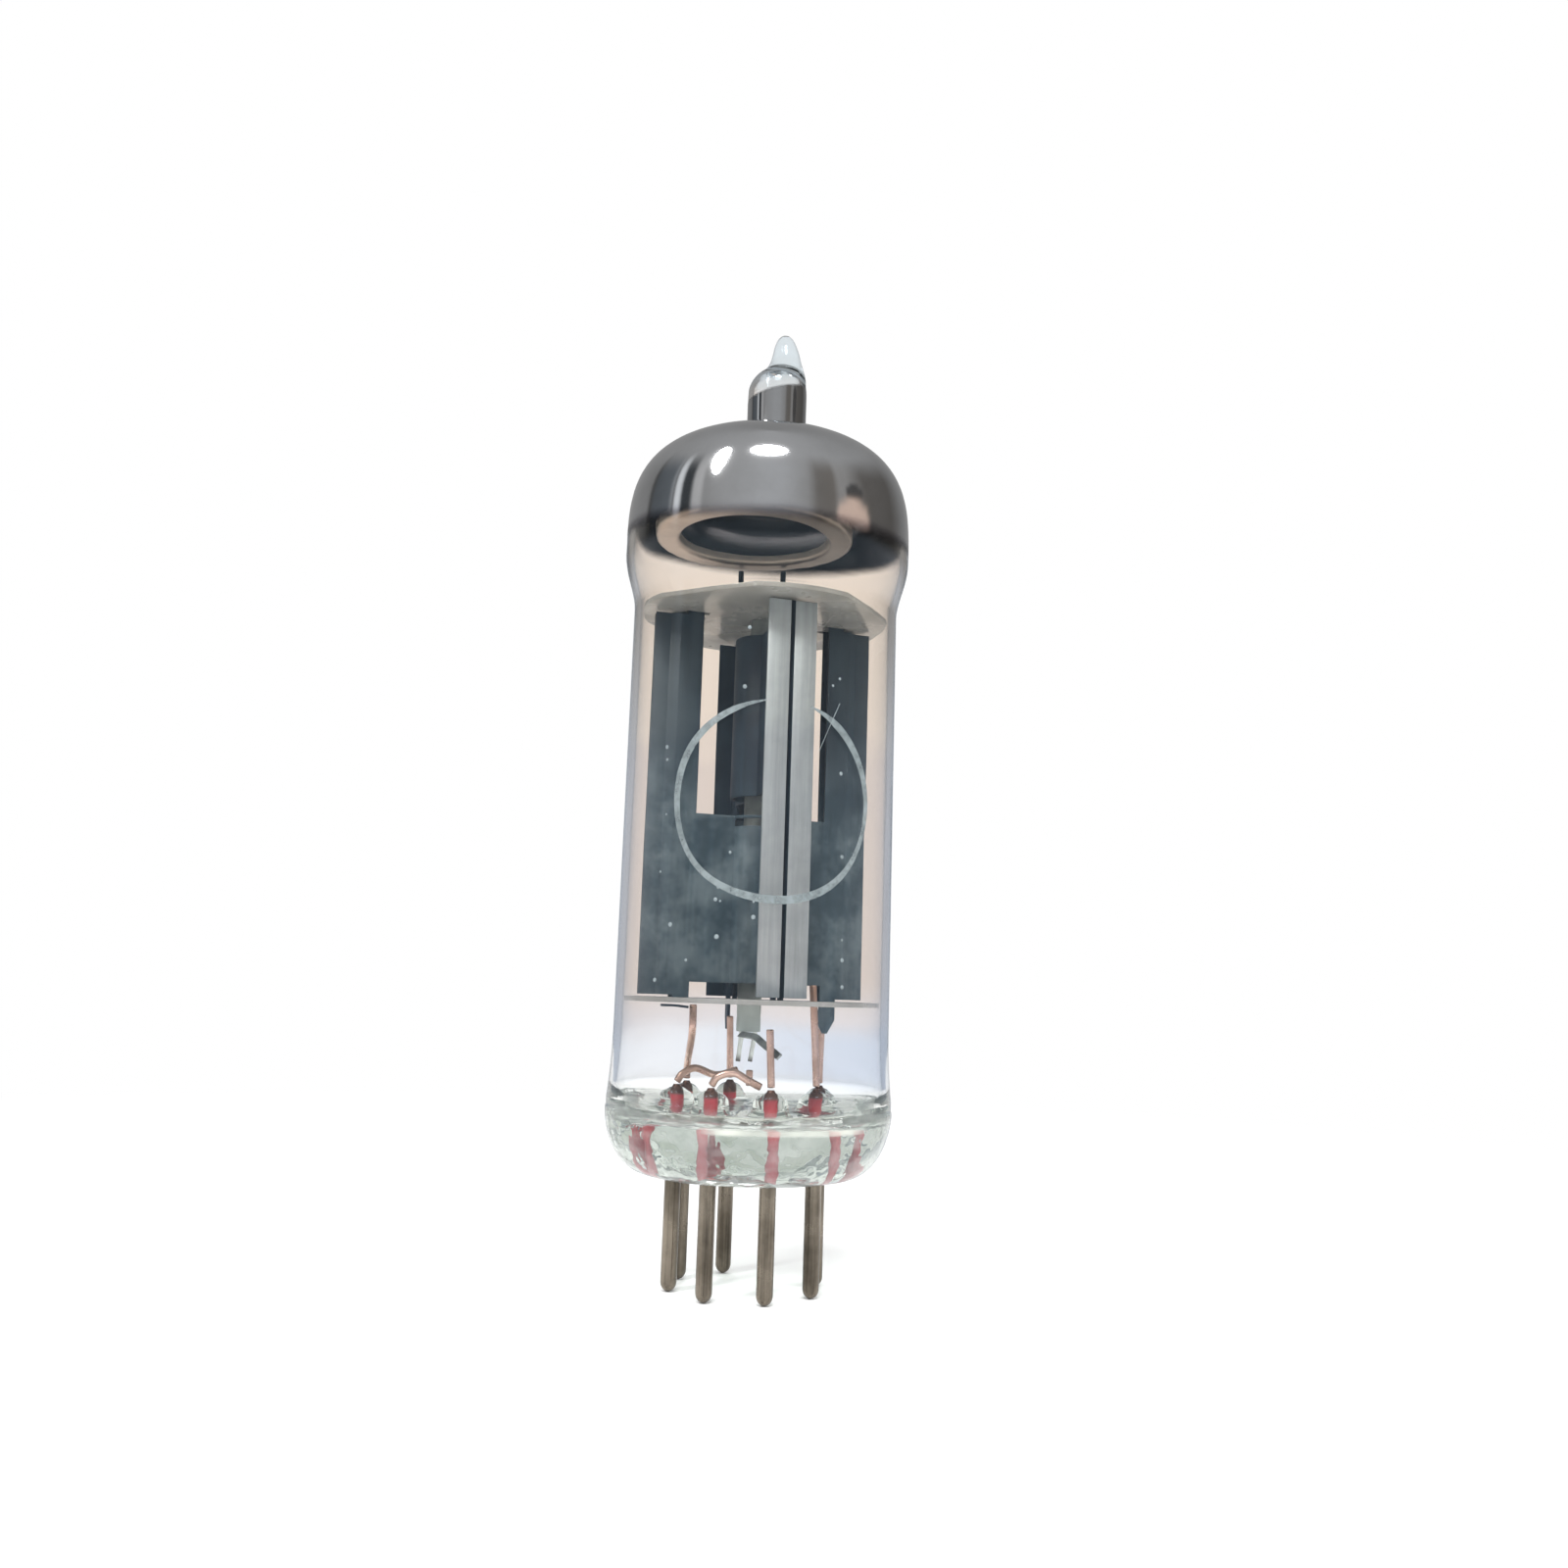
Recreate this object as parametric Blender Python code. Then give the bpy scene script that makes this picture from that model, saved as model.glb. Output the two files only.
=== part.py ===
"""Miniature all-glass vacuum tube with seven pins, a two-section rectifier.

Metres, +Z up. The origin is at the centre of the pin tips' plane. The side bars of the lower
anode lie along X, and those of the upper anode along Y, with the front at -Y.
"""

from math import asin, cos, pi, radians, sin

import bmesh
import bpy
from mathutils import Matrix, Vector

MM = 0.001

# Clearances
CLEARANCE = 0.15 * MM  # between pieces that are sealed, welded or seated on each other
SLOT_PLAY = 0.12 * MM  # round a tab, a post or a lead in its hole

# Base: pins stand on a circle with eight places, one of them empty
PIN_CIRCLE_RADIUS = 4.7625 * MM
PIN_PLACES = {5: 0, 6: 1, 7: 2, 1: 4, 2: 5, 3: 6, 4: 7}  # pin number: place, from -Y towards +X
PLACE_COUNT = 8
PIN_RADIUS = 0.508 * MM
PIN_LENGTH = 7.0 * MM  # from its tip to the underside of the glass
PIN_SUNK = 1.9 * MM  # from the underside of the glass to its upper end
SEAL_RADIUS = 0.47 * MM

# Glass stem
STEM_THICKNESS = 3.4 * MM
STEM_FLAT_RADIUS = 6.3 * MM  # the flat underside that seats on a socket
STEM_LIP_HEIGHT = 0.55 * MM
STEM_LIP_WIDTH = 0.75 * MM
BEAD_RADIUS = 1.25 * MM
BEAD_HEIGHT = 2.3 * MM
SEAL_DEPTH = 0.2 * MM  # from the top of a bead down to its seal

# Glass bulb
WALL_RADIUS = 8.85 * MM
WALL_THICKNESS = 0.45 * MM
SKIRT_FLARE = 0.3 * MM
SKIRT_HEIGHT = 5.0 * MM
BULGE_RISE = 0.1 * MM  # from the top mica to where the wall starts to widen into the dome
DOME_BULGE = 0.75 * MM
BULGE_HEIGHT = 3.8 * MM
DOME_HEIGHT = 8.2 * MM
DOME_SQUARENESS = 0.58  # power of the dome's superellipse: 1 is an ellipse
NECK_RADIUS = 2.03 * MM
NECK_WALL = 0.35 * MM
NECK_HEIGHT = 4.3 * MM
NECK_FILLET = 1.0 * MM
NECK_OFFSET = 0.3 * MM  # the neck stands off the axis, towards +X
SHOULDER_HEIGHT = 1.8 * MM
NIPPLE_RADIUS = 1.1 * MM
NIPPLE_HEIGHT = 2.5 * MM
TIP_OFFSET = 0.5 * MM  # the drawn-off tip leans on from the neck

# Micas
MICA_THICKNESS = 0.3 * MM
MICA_RISE = 7.2 * MM  # from the stem's floor to the bottom mica
MICA_FLAT = 0.65 * MM  # how deep the four diagonal flats cut into the disc
CAGE_HEIGHT = 25.2 * MM  # between the two micas

# Anodes: two alike sheet frames, the upper one turned over and a quarter turn round
SHEET = 0.2 * MM
HALF_GAP = 0.26 * MM  # between the front and rear half of one anode
ANODE_TUBE_RADIUS = 1.85 * MM
SECTION_GAP = 1.25 * MM  # between the closed, working sections of the two anodes
LOWER_MARGIN = 1.0 * MM  # from the bottom mica to the lower section
UPPER_MARGIN = 1.35 * MM  # from the top mica to the upper section
SLOT_INSET = 0.2 * MM  # from the lower section's upper end to the slot across its front
SLOT_HEIGHT = 0.5 * MM
WEB_OFFSET = 0.6 * MM  # from the middle plane to a web beside the tube
FOLD_WIDTH = 0.6 * MM  # of the fold that brings the two halves' sheets together
BAR_WIDTH = 3.1 * MM
LOWER_EDGE = 0.78 * MM  # from the mica's edge to the end of the lower anode's bars
LOWER_FOLD_INSET = 1.6 * MM  # from the end of a bar to its fold
LOWER_TAB_INSET = 2.05 * MM  # from the end of a bar to its tab
LOWER_TAB_WIDTH = 1.3 * MM
UPPER_EDGE = 2.13 * MM
UPPER_FOLD_INSET = 2.55 * MM
UPPER_TAB_INSET = 0.55 * MM
UPPER_TAB_WIDTH = 0.7 * MM
FLANGE_WIDTH = 1.35 * MM
TAB_LENGTH = 0.4 * MM  # how far a tab stands out of the top mica
TAIL_LENGTH = 1.75 * MM  # the pointed tail that a lead is welded to
TAIL_TIP = 0.3 * MM
ARC_STEPS = 6  # from the middle of the tube to one web

# Cathode and heater
CATHODE_OFFSET = -0.2 * MM  # the sleeve sits off the axis, towards -X
CATHODE_RADIUS = 0.78 * MM
CATHODE_WALL = 0.12 * MM
CATHODE_ABOVE = 0.9 * MM  # stands out above the top mica
CATHODE_BELOW = 1.75 * MM  # hangs below the bottom mica
STRAP_WIDTH = 0.45 * MM
STRAP_THICKNESS = 0.15 * MM
STRAP_DROP = 1.35 * MM  # from the sleeve's end to the strap's end
HEATER_RADIUS = 0.15 * MM
HEATER_SPREAD = 0.45 * MM
HEATER_LEG = 1.9 * MM  # bare legs below the sleeve
HEATER_STUB = 1.0 * MM  # the wire end that one leg is welded to

# Leads above the seals
LEAD_RADIUS = 0.23 * MM
LEAD_LEAN = 0.2 * MM
POST_HEIGHT = 3.5 * MM  # the plain post over the front pin
HEATER_ARCH = 0.62 * MM  # how high the heater's lead arches
JUMPER_ARCH = 0.8 * MM
TAB_STRIP_WIDTH = 0.9 * MM
TAB_STRIP_OUT = 0.5 * MM  # how far the strip runs on past the left tab

# Getter
GETTER_ROOM = 1.415 * MM  # from the ring to the nearest glass
GETTER_WIDTH = 1.67 * MM
GETTER_DEPTH = 0.8 * MM
GETTER_SHEET = 0.2 * MM
GETTER_RISE = 1.35 * MM  # from the foot of the dome to the ring's underside
GETTER_OFFSET = -1.0 * MM  # the ring sits off the axis, towards -X
GETTER_POST_RADIUS = 0.2 * MM
GETTER_POST_OUT = 0.4 * MM  # from the middle of the ring's channel outwards to its posts
GETTER_POST_ANGLES = {"left": 82.5, "right": 54}  # degrees round the ring, from +X towards +Y

# Facets
GLASS_SEGMENTS = 36
WIRE_SEGMENTS = 12
BEAD_SEGMENTS = 16

# Places worked out from the sizes above
SEAT_Z = PIN_LENGTH
FLOOR_Z = SEAT_Z + STEM_THICKNESS
BEAD_TOP_Z = FLOOR_Z + BEAD_HEIGHT
SEAL_TOP_Z = BEAD_TOP_Z - SEAL_DEPTH
LEAD_START_Z = SEAL_TOP_Z + CLEARANCE
LIP_Z = FLOOR_Z + STEM_LIP_HEIGHT
SKIRT_Z = LIP_Z + CLEARANCE
RIM_RADIUS = WALL_RADIUS + SKIRT_FLARE
BOTTOM_MICA_Z = FLOOR_Z + MICA_RISE
CAGE_BOTTOM_Z = BOTTOM_MICA_Z + MICA_THICKNESS
TOP_MICA_Z = CAGE_BOTTOM_Z + CAGE_HEIGHT
CAGE_TOP_Z = TOP_MICA_Z + MICA_THICKNESS
BULGE_Z = CAGE_TOP_Z + BULGE_RISE
DOME_Z = BULGE_Z + BULGE_HEIGHT
DOME_RADIUS = WALL_RADIUS + DOME_BULGE
NECK_Z = DOME_Z + DOME_HEIGHT
SHOULDER_Z = NECK_Z + NECK_HEIGHT
NIPPLE_Z = SHOULDER_Z + SHOULDER_HEIGHT
MICA_RADIUS = WALL_RADIUS - WALL_THICKNESS - SLOT_PLAY
LOWER_REACH = MICA_RADIUS - LOWER_EDGE
LOWER_TAB_REACH = LOWER_REACH - LOWER_TAB_INSET - LOWER_TAB_WIDTH  # to the near side of a tab
UPPER_REACH = MICA_RADIUS - UPPER_EDGE
UPPER_TAB_REACH = UPPER_REACH - UPPER_TAB_INSET - UPPER_TAB_WIDTH
SHEET_OFFSET = (HALF_GAP + SHEET) / 2  # from the middle plane to the middle of a bar's sheet
GETTER_Z = DOME_Z + GETTER_RISE
GETTER_OUTER_RADIUS = DOME_RADIUS - WALL_THICKNESS - abs(GETTER_OFFSET) - GETTER_ROOM
GETTER_MEAN_RADIUS = GETTER_OUTER_RADIUS - GETTER_WIDTH / 2
SLEEVE_BOTTOM_Z = BOTTOM_MICA_Z - CATHODE_BELOW
LOWER_TAB_OFFSET = WEB_OFFSET  # the lower anode's tabs stand inside its fold
UPPER_TAB_OFFSET = SHEET_OFFSET  # and the upper anode's outside it
LOWER_TAB_PLACE = LOWER_TAB_REACH + LOWER_TAB_WIDTH / 2
UPPER_TAB_PLACE = UPPER_TAB_REACH + UPPER_TAB_WIDTH / 2
SECTION_LENGTH = (CAGE_HEIGHT - LOWER_MARGIN - UPPER_MARGIN - SECTION_GAP) / 2
LOWER_SECTION = (CAGE_BOTTOM_Z + LOWER_MARGIN, CAGE_BOTTOM_Z + LOWER_MARGIN + SECTION_LENGTH)
UPPER_SECTION = (TOP_MICA_Z - UPPER_MARGIN - SECTION_LENGTH, TOP_MICA_Z - UPPER_MARGIN)
SLOT = (LOWER_SECTION[1] - SLOT_INSET - SLOT_HEIGHT, LOWER_SECTION[1] - SLOT_INSET)
TAIL_MIDDLE_Z = BOTTOM_MICA_Z - TAIL_LENGTH / 2


def clear_scene():
    for obj in list(bpy.data.objects):
        bpy.data.objects.remove(obj, do_unlink=True)


def make_material(name, color, roughness, metallic=0.0, transmission=0.0):
    material = bpy.data.materials.new(name)
    material.use_nodes = True
    shader = material.node_tree.nodes["Principled BSDF"]
    shader.inputs["Base Color"].default_value = (*color, 1.0)
    shader.inputs["Roughness"].default_value = roughness
    shader.inputs["Metallic"].default_value = metallic
    shader.inputs["Transmission Weight"].default_value = transmission
    material.diffuse_color = (*color, 1.0)
    return material


def add_object(name, mesh_builder, material=None):
    """Turns a bmesh into an object, its faces out and its round sides smooth."""
    bmesh.ops.recalc_face_normals(mesh_builder, faces=mesh_builder.faces)
    mesh = bpy.data.meshes.new(name)
    mesh_builder.to_mesh(mesh)
    mesh_builder.free()
    mesh.shade_smooth()
    mesh.set_sharp_from_angle(angle=radians(35))
    obj = bpy.data.objects.new(name, mesh)
    bpy.context.scene.collection.objects.link(obj)
    if material:
        mesh.materials.append(material)
    return obj


def add_boolean(obj, tool, operation="DIFFERENCE"):
    tool.hide_render = True
    tool.display_type = "WIRE"
    modifier = obj.modifiers.new(tool.name, "BOOLEAN")
    modifier.operation = operation
    modifier.solver = "EXACT"
    modifier.object = tool


def turned(stations, segments, closed=False):
    """A turned shape from stations (radius, z) or (radius, z, x offset). Radius 0 is a pole."""
    builder = bmesh.new()
    rings = []
    for radius, z, *offset in stations:
        x0 = offset[0] if offset else 0.0
        count = segments if radius > 0 else 1
        angles = [2 * pi * i / segments for i in range(count)]
        rings.append([builder.verts.new((x0 + radius * cos(a), radius * sin(a), z)) for a in angles])
    pairs = list(zip(rings, rings[1:]))
    if closed:
        pairs.append((rings[-1], rings[0]))
    for low, high in pairs:
        if len(low) == 1 and len(high) == 1:
            continue
        for i in range(segments):
            j = (i + 1) % segments
            corners = [low[i % len(low)], low[j % len(low)], high[j % len(high)], high[i % len(high)]]
            builder.faces.new(list(dict.fromkeys(corners)))
    return builder


def smooth_route(points, steps=5):
    """A curve through all the points (Catmull-Rom), with some steps between each two."""
    ends = [2 * points[0] - points[1], *points, 2 * points[-1] - points[-2]]
    route = []
    for a, b, c, d in zip(ends, ends[1:], ends[2:], ends[3:]):
        for i in range(steps):
            t = i / steps
            route.append(
                0.5 * (2 * b + (c - a) * t + (2 * a - 5 * b + 4 * c - d) * t**2)
                + 0.5 * (3 * b - 3 * c + d - a) * t**3
            )
    route.append(points[-1])
    return route


def add_wire(name, points, radius, material, steps=5):
    """A round wire with flat cut ends along a smooth route."""
    curve = bpy.data.curves.new(name, "CURVE")
    curve.dimensions = "3D"
    curve.bevel_depth = radius
    curve.bevel_resolution = 2
    curve.use_fill_caps = True
    route = smooth_route([Vector(p) for p in points], steps)
    spline = curve.splines.new("POLY")
    spline.points.add(len(route) - 1)
    for slot, place in zip(spline.points, route):
        slot.co = (*place, 1.0)
    curve.materials.append(material)
    obj = bpy.data.objects.new(name, curve)
    bpy.context.scene.collection.objects.link(obj)
    return obj


def add_ribbon(name, points, width, thickness, across, material, steps=4):
    """A flat strip of metal along a smooth route. across is the direction of its width."""
    route = smooth_route([Vector(p) for p in points], steps)
    across = Vector(across).normalized()
    builder = bmesh.new()
    rings = []
    for i, place in enumerate(route):
        along = (route[min(i + 1, len(route) - 1)] - route[max(i - 1, 0)]).normalized()
        normal = along.cross(across).normalized()
        side = across * width / 2
        face = normal * thickness / 2
        corners = [place + side + face, place - side + face, place - side - face, place + side - face]
        rings.append([builder.verts.new(c) for c in corners])
    for low, high in zip(rings, rings[1:]):
        for i in range(4):
            j = (i + 1) % 4
            builder.faces.new([low[i], low[j], high[j], high[i]])
    builder.faces.new(rings[0])
    builder.faces.new(rings[-1])
    return add_object(name, builder, material)


def add_box(builder, center, size):
    place = Matrix.Translation(center) @ Matrix.Diagonal((*size, 1.0))
    bmesh.ops.create_cube(builder, size=1.0, matrix=place)


def add_rod(builder, x, y, low, high, radius):
    bmesh.ops.create_cone(
        builder,
        cap_ends=True,
        segments=WIRE_SEGMENTS,
        radius1=radius,
        radius2=radius,
        depth=high - low,
        matrix=Matrix.Translation((x, y, (low + high) / 2)),
    )


def pin_place(number):
    angle = 2 * pi * PIN_PLACES[number] / PLACE_COUNT
    return PIN_CIRCLE_RADIUS * sin(angle), -PIN_CIRCLE_RADIUS * cos(angle)


def skirt_radius(z):
    """Outer radius of the bulb's straight part, which flares at its skirt."""
    share = max(0.0, 1 - (z - SKIRT_Z) / SKIRT_HEIGHT)
    return WALL_RADIUS + SKIRT_FLARE * share**2


def bulb_stations(inset, dome_inset):
    """The bulb's side from the skirt up to the dome's crown, drawn in by the wall's thickness."""
    skirt_steps, bulge_steps, dome_steps = 4, 5, 9
    levels = [SKIRT_Z + SKIRT_HEIGHT * i / skirt_steps for i in range(skirt_steps + 1)]
    stations = [(skirt_radius(z) - inset, z) for z in levels]
    for i in range(bulge_steps):
        t = i / bulge_steps
        stations.append(
            (WALL_RADIUS - inset + DOME_BULGE * (3 * t**2 - 2 * t**3), BULGE_Z + BULGE_HEIGHT * t)
        )
    crown = NECK_RADIUS + NECK_FILLET
    for i in range(dome_steps + 1):
        angle = pi / 2 * i / dome_steps
        radius = (DOME_RADIUS - inset) * max(cos(angle), 0.0) ** DOME_SQUARENESS
        height = (DOME_HEIGHT - dome_inset) * sin(angle) ** DOME_SQUARENESS
        if radius > crown:
            stations.append((radius, DOME_Z + height))
    return stations


def make_envelope(glass):
    outer = bulb_stations(0.0, 0.0)
    fillet_steps = 4
    for i in range(fillet_steps + 1):
        angle = pi / 2 * i / fillet_steps
        radius = NECK_RADIUS + NECK_FILLET * (1 - sin(angle))
        outer.append((radius, NECK_Z + NECK_FILLET * (1 - cos(angle)), NECK_OFFSET * sin(angle)))
    shoulder_steps = 5
    for i in range(shoulder_steps + 1):
        t = i / shoulder_steps
        blend = 3 * t**2 - 2 * t**3
        radius = NECK_RADIUS + (NIPPLE_RADIUS - NECK_RADIUS) * blend
        outer.append((radius, SHOULDER_Z + SHOULDER_HEIGHT * t, NECK_OFFSET + TIP_OFFSET * blend))
    nipple_steps = 4
    for i in range(1, nipple_steps + 1):
        angle = pi / 2 * i / nipple_steps
        radius = NIPPLE_RADIUS * cos(angle) if i < nipple_steps else 0.0
        outer.append((radius, NIPPLE_Z + NIPPLE_HEIGHT * sin(angle), NECK_OFFSET + TIP_OFFSET))

    bore = NECK_RADIUS - NECK_WALL
    inner = bulb_stations(WALL_THICKNESS, WALL_THICKNESS)
    inner[0] = (RIM_RADIUS - STEM_LIP_WIDTH, SKIRT_Z)
    inner += [
        (bore + NECK_FILLET / 2, NECK_Z, NECK_OFFSET / 2),
        (bore, NECK_Z + NECK_FILLET, NECK_OFFSET),
        (bore, SHOULDER_Z, NECK_OFFSET),
    ]
    cavity_steps = 3
    for i in range(1, cavity_steps + 1):
        angle = pi / 2 * i / cavity_steps
        radius = bore * cos(angle) if i < cavity_steps else 0.0
        inner.append((radius, SHOULDER_Z + SHOULDER_HEIGHT * 0.6 * sin(angle), NECK_OFFSET))
    builder = turned(outer + inner[::-1], GLASS_SEGMENTS, closed=True)
    return add_object("glass_envelope", builder, glass)


def make_stem(glass):
    """The pressed glass disc: a flat seat, a rounded side, a lip and a bead round each pin."""
    stations = [(0.0, SEAT_Z), (STEM_FLAT_RADIUS, SEAT_Z)]
    side_steps = 7
    for i in range(1, side_steps + 1):
        angle = pi / 2 * i / side_steps
        stations.append(
            (
                STEM_FLAT_RADIUS + (RIM_RADIUS - STEM_FLAT_RADIUS) * sin(angle),
                LIP_Z - (LIP_Z - SEAT_Z) * cos(angle),
            )
        )
    lip = RIM_RADIUS - STEM_LIP_WIDTH
    stations += [(lip, LIP_Z), (lip - STEM_LIP_HEIGHT, FLOOR_Z), (0.0, FLOOR_Z)]
    stem = add_object("glass_stem", turned(stations, GLASS_SEGMENTS), glass)

    beads = bmesh.new()
    holes = bmesh.new()
    bead_steps = 4
    for number in PIN_PLACES:
        x, y = pin_place(number)
        profile = [(0.0, FLOOR_Z - STEM_THICKNESS / 2), (BEAD_RADIUS, FLOOR_Z - STEM_THICKNESS / 2)]
        for i in range(bead_steps):
            angle = pi / 2 * i / bead_steps
            profile.append((BEAD_RADIUS * cos(angle), FLOOR_Z + BEAD_HEIGHT * sin(angle)))
        profile.append((0.0, BEAD_TOP_Z))
        bead = turned(profile, BEAD_SEGMENTS)
        mesh = bpy.data.meshes.new("bead")
        bead.to_mesh(mesh)
        bead.free()
        mesh.transform(Matrix.Translation((x, y, 0)))
        beads.from_mesh(mesh)
        bpy.data.meshes.remove(mesh)
        hole = max(PIN_RADIUS, SEAL_RADIUS) + SLOT_PLAY
        add_rod(holes, x, y, SEAT_Z - PIN_LENGTH / 2, BEAD_TOP_Z + BEAD_HEIGHT, hole)
    add_boolean(stem, add_object("stem_beads_tool", beads), "UNION")
    add_boolean(stem, add_object("stem_holes_tool", holes))


def make_pin(number, nickel):
    x, y = pin_place(number)
    round_steps = 3
    stations = []
    for i in range(round_steps + 1):
        angle = pi / 2 * i / round_steps
        stations.append((PIN_RADIUS * sin(angle), PIN_RADIUS * (1 - cos(angle))))
    stations += [(PIN_RADIUS, SEAT_Z + PIN_SUNK), (0.0, SEAT_Z + PIN_SUNK)]
    pin = add_object(f"pin_{number}", turned(stations, WIRE_SEGMENTS), nickel)
    pin.location = (x, y, 0)


def make_seal(number, seal):
    x, y = pin_place(number)
    low = SEAT_Z + PIN_SUNK + CLEARANCE
    round_off = SEAL_RADIUS / 2
    stations = [
        (0.0, low),
        (SEAL_RADIUS, low),
        (SEAL_RADIUS, SEAL_TOP_Z - round_off),
        (SEAL_RADIUS - round_off, SEAL_TOP_Z),
        (0.0, SEAL_TOP_Z),
    ]
    slug = add_object(f"seal_{number}", turned(stations, WIRE_SEGMENTS), seal)
    slug.location = (x, y, 0)


def web_offset(reach, fold_reach):
    """How far a half's sheet lies from the middle plane, at some reach from the axis."""
    share = min(max((reach - fold_reach) / FOLD_WIDTH, 0.0), 1.0)
    return WEB_OFFSET + (SHEET_OFFSET - WEB_OFFSET) * share


def is_filled(kind, z, section, slot):
    """Whether a column of this kind has sheet at this height."""
    if kind == "tab":
        return True
    if kind == "bar":
        return CAGE_BOTTOM_Z < z < TOP_MICA_Z
    in_slot = kind == "tube" and bool(slot) and slot[0] < z < slot[1]
    return section[0] < z < section[1] and not in_slot


def make_anode_half(name, size, section, turn, material, slot=(), tail=0):
    """One half of an anode: a half-round section with webs, and full-height bars with tabs.

    It is a sheet surface over a grid of columns (along the plan) and rows (up), in which the
    windows are faces left out, and a Solidify gives it the sheet's thickness. size holds the
    reach of the bars, the fold and the tabs; section and slot are (low, high) heights; tail is
    the side of the half, -1 or 1, on which the tab runs on below the bottom mica.
    """
    start = asin(WEB_OFFSET / ANODE_TUBE_RADIUS)
    angles = [pi / 2 - (pi / 2 - start) * i / ARC_STEPS for i in range(ARC_STEPS + 1)]
    right = [(ANODE_TUBE_RADIUS * cos(a), ANODE_TUBE_RADIUS * sin(a)) for a in angles]
    kinds = ["tube"] * ARC_STEPS
    bar = size["reach"] + size["flange"] - BAR_WIDTH
    tab_out = size["tab"] + size["tab_width"]
    for place in sorted([bar, size["fold"], size["fold"] + FOLD_WIDTH, size["tab"], tab_out, size["reach"]]):
        middle = (right[-1][0] + place) / 2
        right.append((place, web_offset(place, size["fold"])))
        kinds.append("web" if middle < bar else "tab" if size["tab"] < middle < tab_out else "bar")
    if size["flange"]:
        right.append((size["reach"], SHEET_OFFSET + size["flange"]))
        kinds.append("bar")
    path = [(-x, y) for x, y in right[:0:-1]] + right
    kinds = kinds[::-1] + kinds
    rows = [BOTTOM_MICA_Z, CAGE_BOTTOM_Z + CLEARANCE, *section, *slot]
    rows = sorted([*rows, TOP_MICA_Z - CLEARANCE, CAGE_TOP_Z + TAB_LENGTH])

    builder = bmesh.new()
    spin = Matrix.Rotation(turn, 4, "Z")
    grid = {}

    def corner(i, k):
        if (i, k) not in grid:
            x, y = path[i]
            grid[i, k] = builder.verts.new(spin @ Vector((x, -y, rows[k])))
        return grid[i, k]

    for i, kind in enumerate(kinds):
        for k in range(len(rows) - 1):
            if is_filled(kind, (rows[k] + rows[k + 1]) / 2, section, slot):
                builder.faces.new([corner(i, k), corner(i + 1, k), corner(i + 1, k + 1), corner(i, k + 1)])
    if tail:
        tabs = [i for i, kind in enumerate(kinds) if kind == "tab"]
        i = tabs[-1] if tail > 0 else tabs[0]
        upper = [corner(i, 0), corner(i + 1, 0)]
        middle = tail * (size["tab"] + size["tab_width"] / 2)
        for width, z in ((size["tab_width"], TAIL_MIDDLE_Z), (TAIL_TIP, BOTTOM_MICA_Z - TAIL_LENGTH)):
            ends = [Vector((middle + side * width / 2, -path[i][1], z)) for side in (-1, 1)]
            lower = [builder.verts.new(spin @ end) for end in ends]
            builder.faces.new([lower[0], lower[1], upper[1], upper[0]])
            upper = lower
    half = add_object(name, builder, material)
    wall = half.modifiers.new("sheet", "SOLIDIFY")
    wall.thickness = SHEET
    wall.offset = 0.0
    wall.use_even_offset = True


def make_mica(name, z, material, extra_holes):
    """A disc with four diagonal flats, slots for the anodes' tabs and holes for the rest."""
    builder = bmesh.new()
    flat_half_angle = pi / 4 - radians(21)
    flat_radius = MICA_RADIUS - MICA_FLAT
    outline = []
    arc_steps = 6
    for quarter in range(4):
        middle = quarter * pi / 2
        for i in range(arc_steps + 1):
            angle = middle + (pi / 4 - flat_half_angle) * (2 * i / arc_steps - 1)
            outline.append((MICA_RADIUS * cos(angle), MICA_RADIUS * sin(angle)))
        angle = middle + pi / 4
        outline.append((flat_radius * cos(angle), flat_radius * sin(angle)))
    low = [builder.verts.new((x, y, z)) for x, y in outline]
    high = [builder.verts.new((x, y, z + MICA_THICKNESS)) for x, y in outline]
    builder.faces.new(low)
    builder.faces.new(high)
    for i in range(len(outline)):
        j = (i + 1) % len(outline)
        builder.faces.new([low[i], low[j], high[j], high[i]])
    mica = add_object(name, builder, material)

    holes = bmesh.new()
    middle_z = z + MICA_THICKNESS / 2
    deep = 4 * MICA_THICKNESS
    play = 2 * SLOT_PLAY
    for side in (-1, 1):
        for half in (-1, 1):
            center = (side * LOWER_TAB_PLACE, half * LOWER_TAB_OFFSET, middle_z)
            add_box(holes, center, (LOWER_TAB_WIDTH + play, SHEET + play, deep))
        center = (0, side * UPPER_TAB_PLACE, middle_z)
        add_box(holes, center, (2 * UPPER_TAB_OFFSET + SHEET + play, UPPER_TAB_WIDTH + play, deep))
    add_rod(holes, CATHODE_OFFSET, 0, middle_z - deep, middle_z + deep, CATHODE_RADIUS + SLOT_PLAY)
    for x, y, radius in extra_holes:
        add_rod(holes, x, y, middle_z - deep, middle_z + deep, radius + SLOT_PLAY)
    add_boolean(mica, add_object(f"{name}_holes_tool", holes))


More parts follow.
